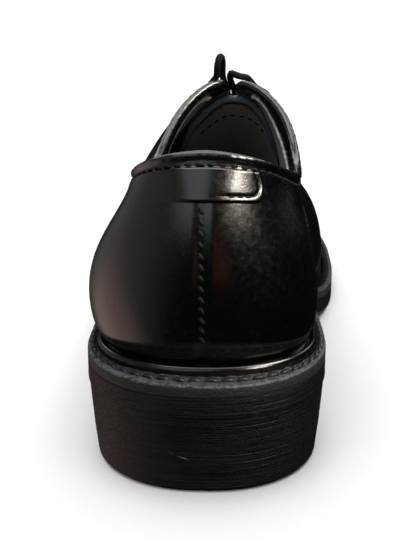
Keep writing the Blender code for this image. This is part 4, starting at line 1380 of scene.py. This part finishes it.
def lace_sections(path):
    """Rings of the lace along a path, swelled where the braid's strands come to the surface."""
    angles = LACE_STRANDS * ring_angles(LACE_SIDES)
    turn = (2 * math.pi * np.arange(len(path)) * LACE_STEP / LACE_BRAID_PITCH)[:, None]
    braid = np.maximum(np.cos(angles + turn), np.cos(angles - turn))
    return tube_rings(path, LACE_RADIUS * (1 - LACE_BRAID_DEPTH * (1 - braid) / 2))


def over_facing(side, row, downs_and_heights):
    """Points at distances down from a facing's edge and heights over the facing."""
    downs, heights = np.array(downs_and_heights).T
    points, normals, _ = wall_row(side * row, rises_below(side * row, downs)[0])
    return points + normals * (QUARTER_STEP + heights)[:, None]


def over_tongue(row, height):
    """Point over the middle of the tongue at a row."""
    line = tongue_line(row, TONGUE_WING, UPPER_WALL + TONGUE_CLEARANCE)
    points, normals = wall_line([-row, row], 0.0)
    return line[len(line) // 2] + unit(normals.sum(0)) * height


def strand(side, place, height):
    """One strand from its eyelet, or from under its facing in the bottom row, to under the other facing."""
    row = eyelet_row(place)
    bottom = place == EYELET_COUNT - 1
    start = over_facing(side, row, LACE_OUT)
    if bottom:
        start = over_facing(side, row - LACE_OUT_SHARE * EYELET_ROW_STEP, LACE_UNDER)[::-1]
    last = row - LACE_UNDER_SHARE * EYELET_ROW_STEP
    middle = over_tongue((row + last) / 2, height)
    return np.vstack((start, middle, over_facing(-side, last, LACE_UNDER)))


lace_ways = []
for place in range(1, EYELET_COUNT):
    for side in (-1, 1):
        lace_ways.append(strand(side, place, LACE_HIGH if (side > 0) == (place % 2 > 0) else LACE_LOW))
bar_row = eyelet_row(EYELET_COUNT - 1)
bar = over_facing(-1, bar_row, LACE_OUT), over_facing(1, bar_row, LACE_OUT)[::-1]
lace_ways.append(np.vstack(bar))


def braided_cotton(name, dark, light):
    """Waxed braid: dull black with a faint grey nap, the strands' ridges catching a little light."""
    material, tree, shader, place = new_material(name, {"Roughness": 0.82, "Specular IOR Level": 0.15})
    fibre = node(tree, "ShaderNodeTexNoise", "Fac", {"Vector": place, "Scale": 1 / (0.5 * MM), "Detail": 4.0})
    colour = node(tree, "ShaderNodeMix", 2, {0: fibre, 6: linear(dark), 7: linear(light)}, data_type="RGBA")
    bump = node(tree, "ShaderNodeBump", 0, {"Height": fibre, "Strength": 0.6, "Distance": 0.25 * MM})
    plug(tree, shader, {"Base Color": colour, "Normal": bump})
    return material


lace_cotton = braided_cotton("braided_black_cotton", "#030304", "#0c0c0d")


def join_meshes(name, meshes):
    """One mesh of several."""
    work = bmesh.new()
    for mesh in meshes:
        work.from_mesh(mesh)
        bpy.data.meshes.remove(mesh)
    joined = bpy.data.meshes.new(name)
    work.to_mesh(joined)
    work.free()
    return joined


# Routes of the two loose ends. The stretch from each top eyelet to its route's first point is made here.
LACE_END_LATERAL = (
    (-3.6, 123.8, 100.9),
    (-1.9, 121.2, 103.1),
    (-0.3, 118.3, 105.4),
    (0.2, 115.2, 107.3),
    (0.35, 113.2, 109.4),
    (0.7, 113.0, 111.6),
    (1.3, 115.2, 113.0),
    (1.9, 118.4, 112.0),
    (2.0, 121.5, 109.1),
    (2.0, 124.1, 105.3),
    (2.9, 126.5, 101.6),
    (3.8, 128.8, 98.0),
    (3.9, 131.2, 95.2),
)
LACE_END_MEDIAL = (
    (14.4, 124.6, 100.9),
    (12.7, 121.6, 103.0),
    (11.0, 118.5, 105.2),
    (10.0, 115.9, 105.9),
    (8.8, 114.2, 106.3),
    (7.2, 113.9, 106.8),
    (5.7, 115.4, 107.2),
    (4.9, 118.4, 106.4),
    (4.9, 121.8, 104.1),
    (5.7, 124.6, 101.5),
    (6.4, 127.4, 98.8),
    (6.7, 129.4, 96.8),
    (6.8, 131.2, 95.2),
)
# Heights at which the lace comes up along the axes of the top eyelets
LACE_RISE = (-1.0, 2.4)
LACE_END_PATHS = {}
lace_paths = [smooth_path(way, LACE_STEP) for way in lace_ways]
for side, route in ((-1, LACE_END_LATERAL), (1, LACE_END_MEDIAL)):
    point, normal = eyelet_seat(side, 0)
    path = smooth_path((*[point + normal * height for height in LACE_RISE], *route), LACE_STEP)
    first = int(np.linalg.norm(path - route[0], axis=1).argmin())
    lace_paths.append(path[: first + 1])
    LACE_END_PATHS[side] = path[first:]
strand_meshes = [skin("lace_strand", lace_sections(path)) for path in lace_paths]
dress("lace_run", join_meshes("lace_run", strand_meshes), [lace_cotton], ["lace_crossings"])

# Lace ends. Both loose ends of the same lace stand over the facings' corners as two short limp folds and are
# tucked in between the facings over the tongue.
for side, path in LACE_END_PATHS.items():
    name = "lace_end_lateral" if side < 0 else "lace_end_medial"
    lace_end = dress(f"{name}_braid", skin(name, lace_sections(path)), [lace_cotton], [name])

# Floor. A pale sheet of studio paper, far wider than the shoe.
FLOOR_HALF = 4000.0


def studio_paper(name, dark, light):
    """Matt white paper with a very faint cloud, so that the shadow lies on it evenly."""
    material, tree, shader, place = new_material(name, {"Roughness": 0.95, "Specular IOR Level": 0.1})
    cloud = node(tree, "ShaderNodeTexNoise", "Fac", {"Vector": place, "Scale": 1 / (160 * MM), "Detail": 3.0})
    colour = node(tree, "ShaderNodeMix", 2, {0: cloud, 6: linear(dark), 7: linear(light)}, data_type="RGBA")
    plug(tree, shader, {"Base Color": colour})
    return material


corners = [(x * FLOOR_HALF, y * FLOOR_HALF, 0.0) for x, y in ((-1, -1), (1, -1), (1, 1), (-1, 1))]
floor_mesh = mesh_of("studio_floor", corners, [(0, 1, 2, 3)])
floor_mesh.materials.append(studio_paper("white_studio_paper", "#f2f1ef", "#f6f5f4"))
floor = add_object("studio_floor", floor_mesh)
floor.visible_glossy = False

# Light. Broad softboxes overhead whiten the paper, and two windows on the right are mirrored in the leather.
# The room is dim, with the soft glow of a warm wall on the left and of the ceiling behind.
SHOE_MIDDLE = (0.0, 20.0, 80.0)
# Name, place, aim, width and height in millimetres, power in watts, colour, whether gloss mirrors it and
# whether it lights dull surfaces
LAMPS = (
    ("softbox", (0.0, 0.0, 1900.0), (0.0, 0.0, 0.0), 2000.0, 2000.0, 44.0, "#ffffff", True, True),
    ("far_softbox", (0.0, 2700.0, 1900.0), (0.0, 2700.0, 0.0), 5000.0, 2200.0, 75.0, "#ffffff", True, True),
    ("window", (1100.0, -930.0, 800.0), SHOE_MIDDLE, 540.0, 420.0, 25.0, "#fff6e6", True, False),
    ("upper_window", (1000.0, -150.0, 1200.0), SHOE_MIDDLE, 1000.0, 480.0, 42.0, "#fff6e6", True, False),
    ("fill", (0.0, -1500.0, 420.0), (0.0, 100.0, 80.0), 1500.0, 700.0, 6.0, "#fff6ee", False, True),
)
ROOM_LIGHT = "#ffffff"
ROOM_STRENGTH = 0.004
# Glows of the room as direction, cosine where it fades out, cosine where it is full, colour and strength
GLOWS = (
    ((-0.95, 0.05, -0.10), 0.30, 0.98, "#ded8d2", 0.45),
    ((-0.83, 0.16, -0.53), 0.76, 0.99, "#e6b6ac", 0.7),
    ((-0.28, -0.80, 0.53), 0.86, 0.985, "#dfe8ee", 1.4),
    ((0.30, -0.95, -0.06), 0.965, 0.995, "#b8694f", 0.45),
)


def aim(holder, place, target):
    """Stands an object at a place and turns its -Z axis to a target, both in millimetres."""
    start, end = Vector(to_metres(place)), Vector(to_metres(target))
    holder.location = start
    holder.rotation_euler = (end - start).to_track_quat("-Z", "Y").to_euler()


for name, place, target, width, height, power, colour, in_gloss, on_dull in LAMPS:
    lamp = bpy.data.lights.new(name, "AREA")
    lamp.shape = "RECTANGLE"
    lamp.size, lamp.size_y = width * MM, height * MM
    lamp.energy = power
    lamp.color = linear(colour)[:3]
    holder = add_object(name, lamp)
    holder.visible_glossy = in_gloss
    holder.visible_diffuse = on_dull
    aim(holder, place, target)
room = bpy.data.worlds.new("studio_room")
room.use_nodes = True
tree = room.node_tree
heading = node(tree, "ShaderNodeTexCoord", "Generated", {})
glow = [channel * ROOM_STRENGTH for channel in linear(ROOM_LIGHT)[:3]]
for direction, fade, full, colour, strength in GLOWS:
    towards = {0: heading, 1: unit(np.array(direction))}
    facing = node(tree, "ShaderNodeVectorMath", "Value", towards, operation="DOT_PRODUCT")
    rise = {"Value": facing, "From Min": fade, "From Max": full}
    share = node(tree, "ShaderNodeMapRange", 0, rise, interpolation_type="SMOOTHSTEP")
    light = [channel * strength for channel in linear(colour)[:3]]
    part = node(tree, "ShaderNodeVectorMath", 0, {0: light, "Scale": share}, operation="SCALE")
    glow = node(tree, "ShaderNodeVectorMath", 0, {0: glow, 1: part}, operation="ADD")
plug(tree, tree.nodes["Background"], {"Color": glow})
bpy.context.scene.world = room
bpy.context.scene.view_settings.view_transform = "Standard"

# Camera. It stands behind the heel and a little above it, as in the photograph, and takes in the one shoe.
CAMERA_PLACE = (15.6, -301.8, 157.0)
CAMERA_AIM = (1.7, 10.0, 63.0)
CAMERA_LENS = 75.4
CAMERA_NEAR = 10.0

camera = bpy.data.cameras.new("camera")
camera.lens = CAMERA_LENS
camera.clip_start = CAMERA_NEAR * MM
camera_holder = add_object("camera", camera)
aim(camera_holder, CAMERA_PLACE, CAMERA_AIM)
bpy.context.scene.camera = camera_holder
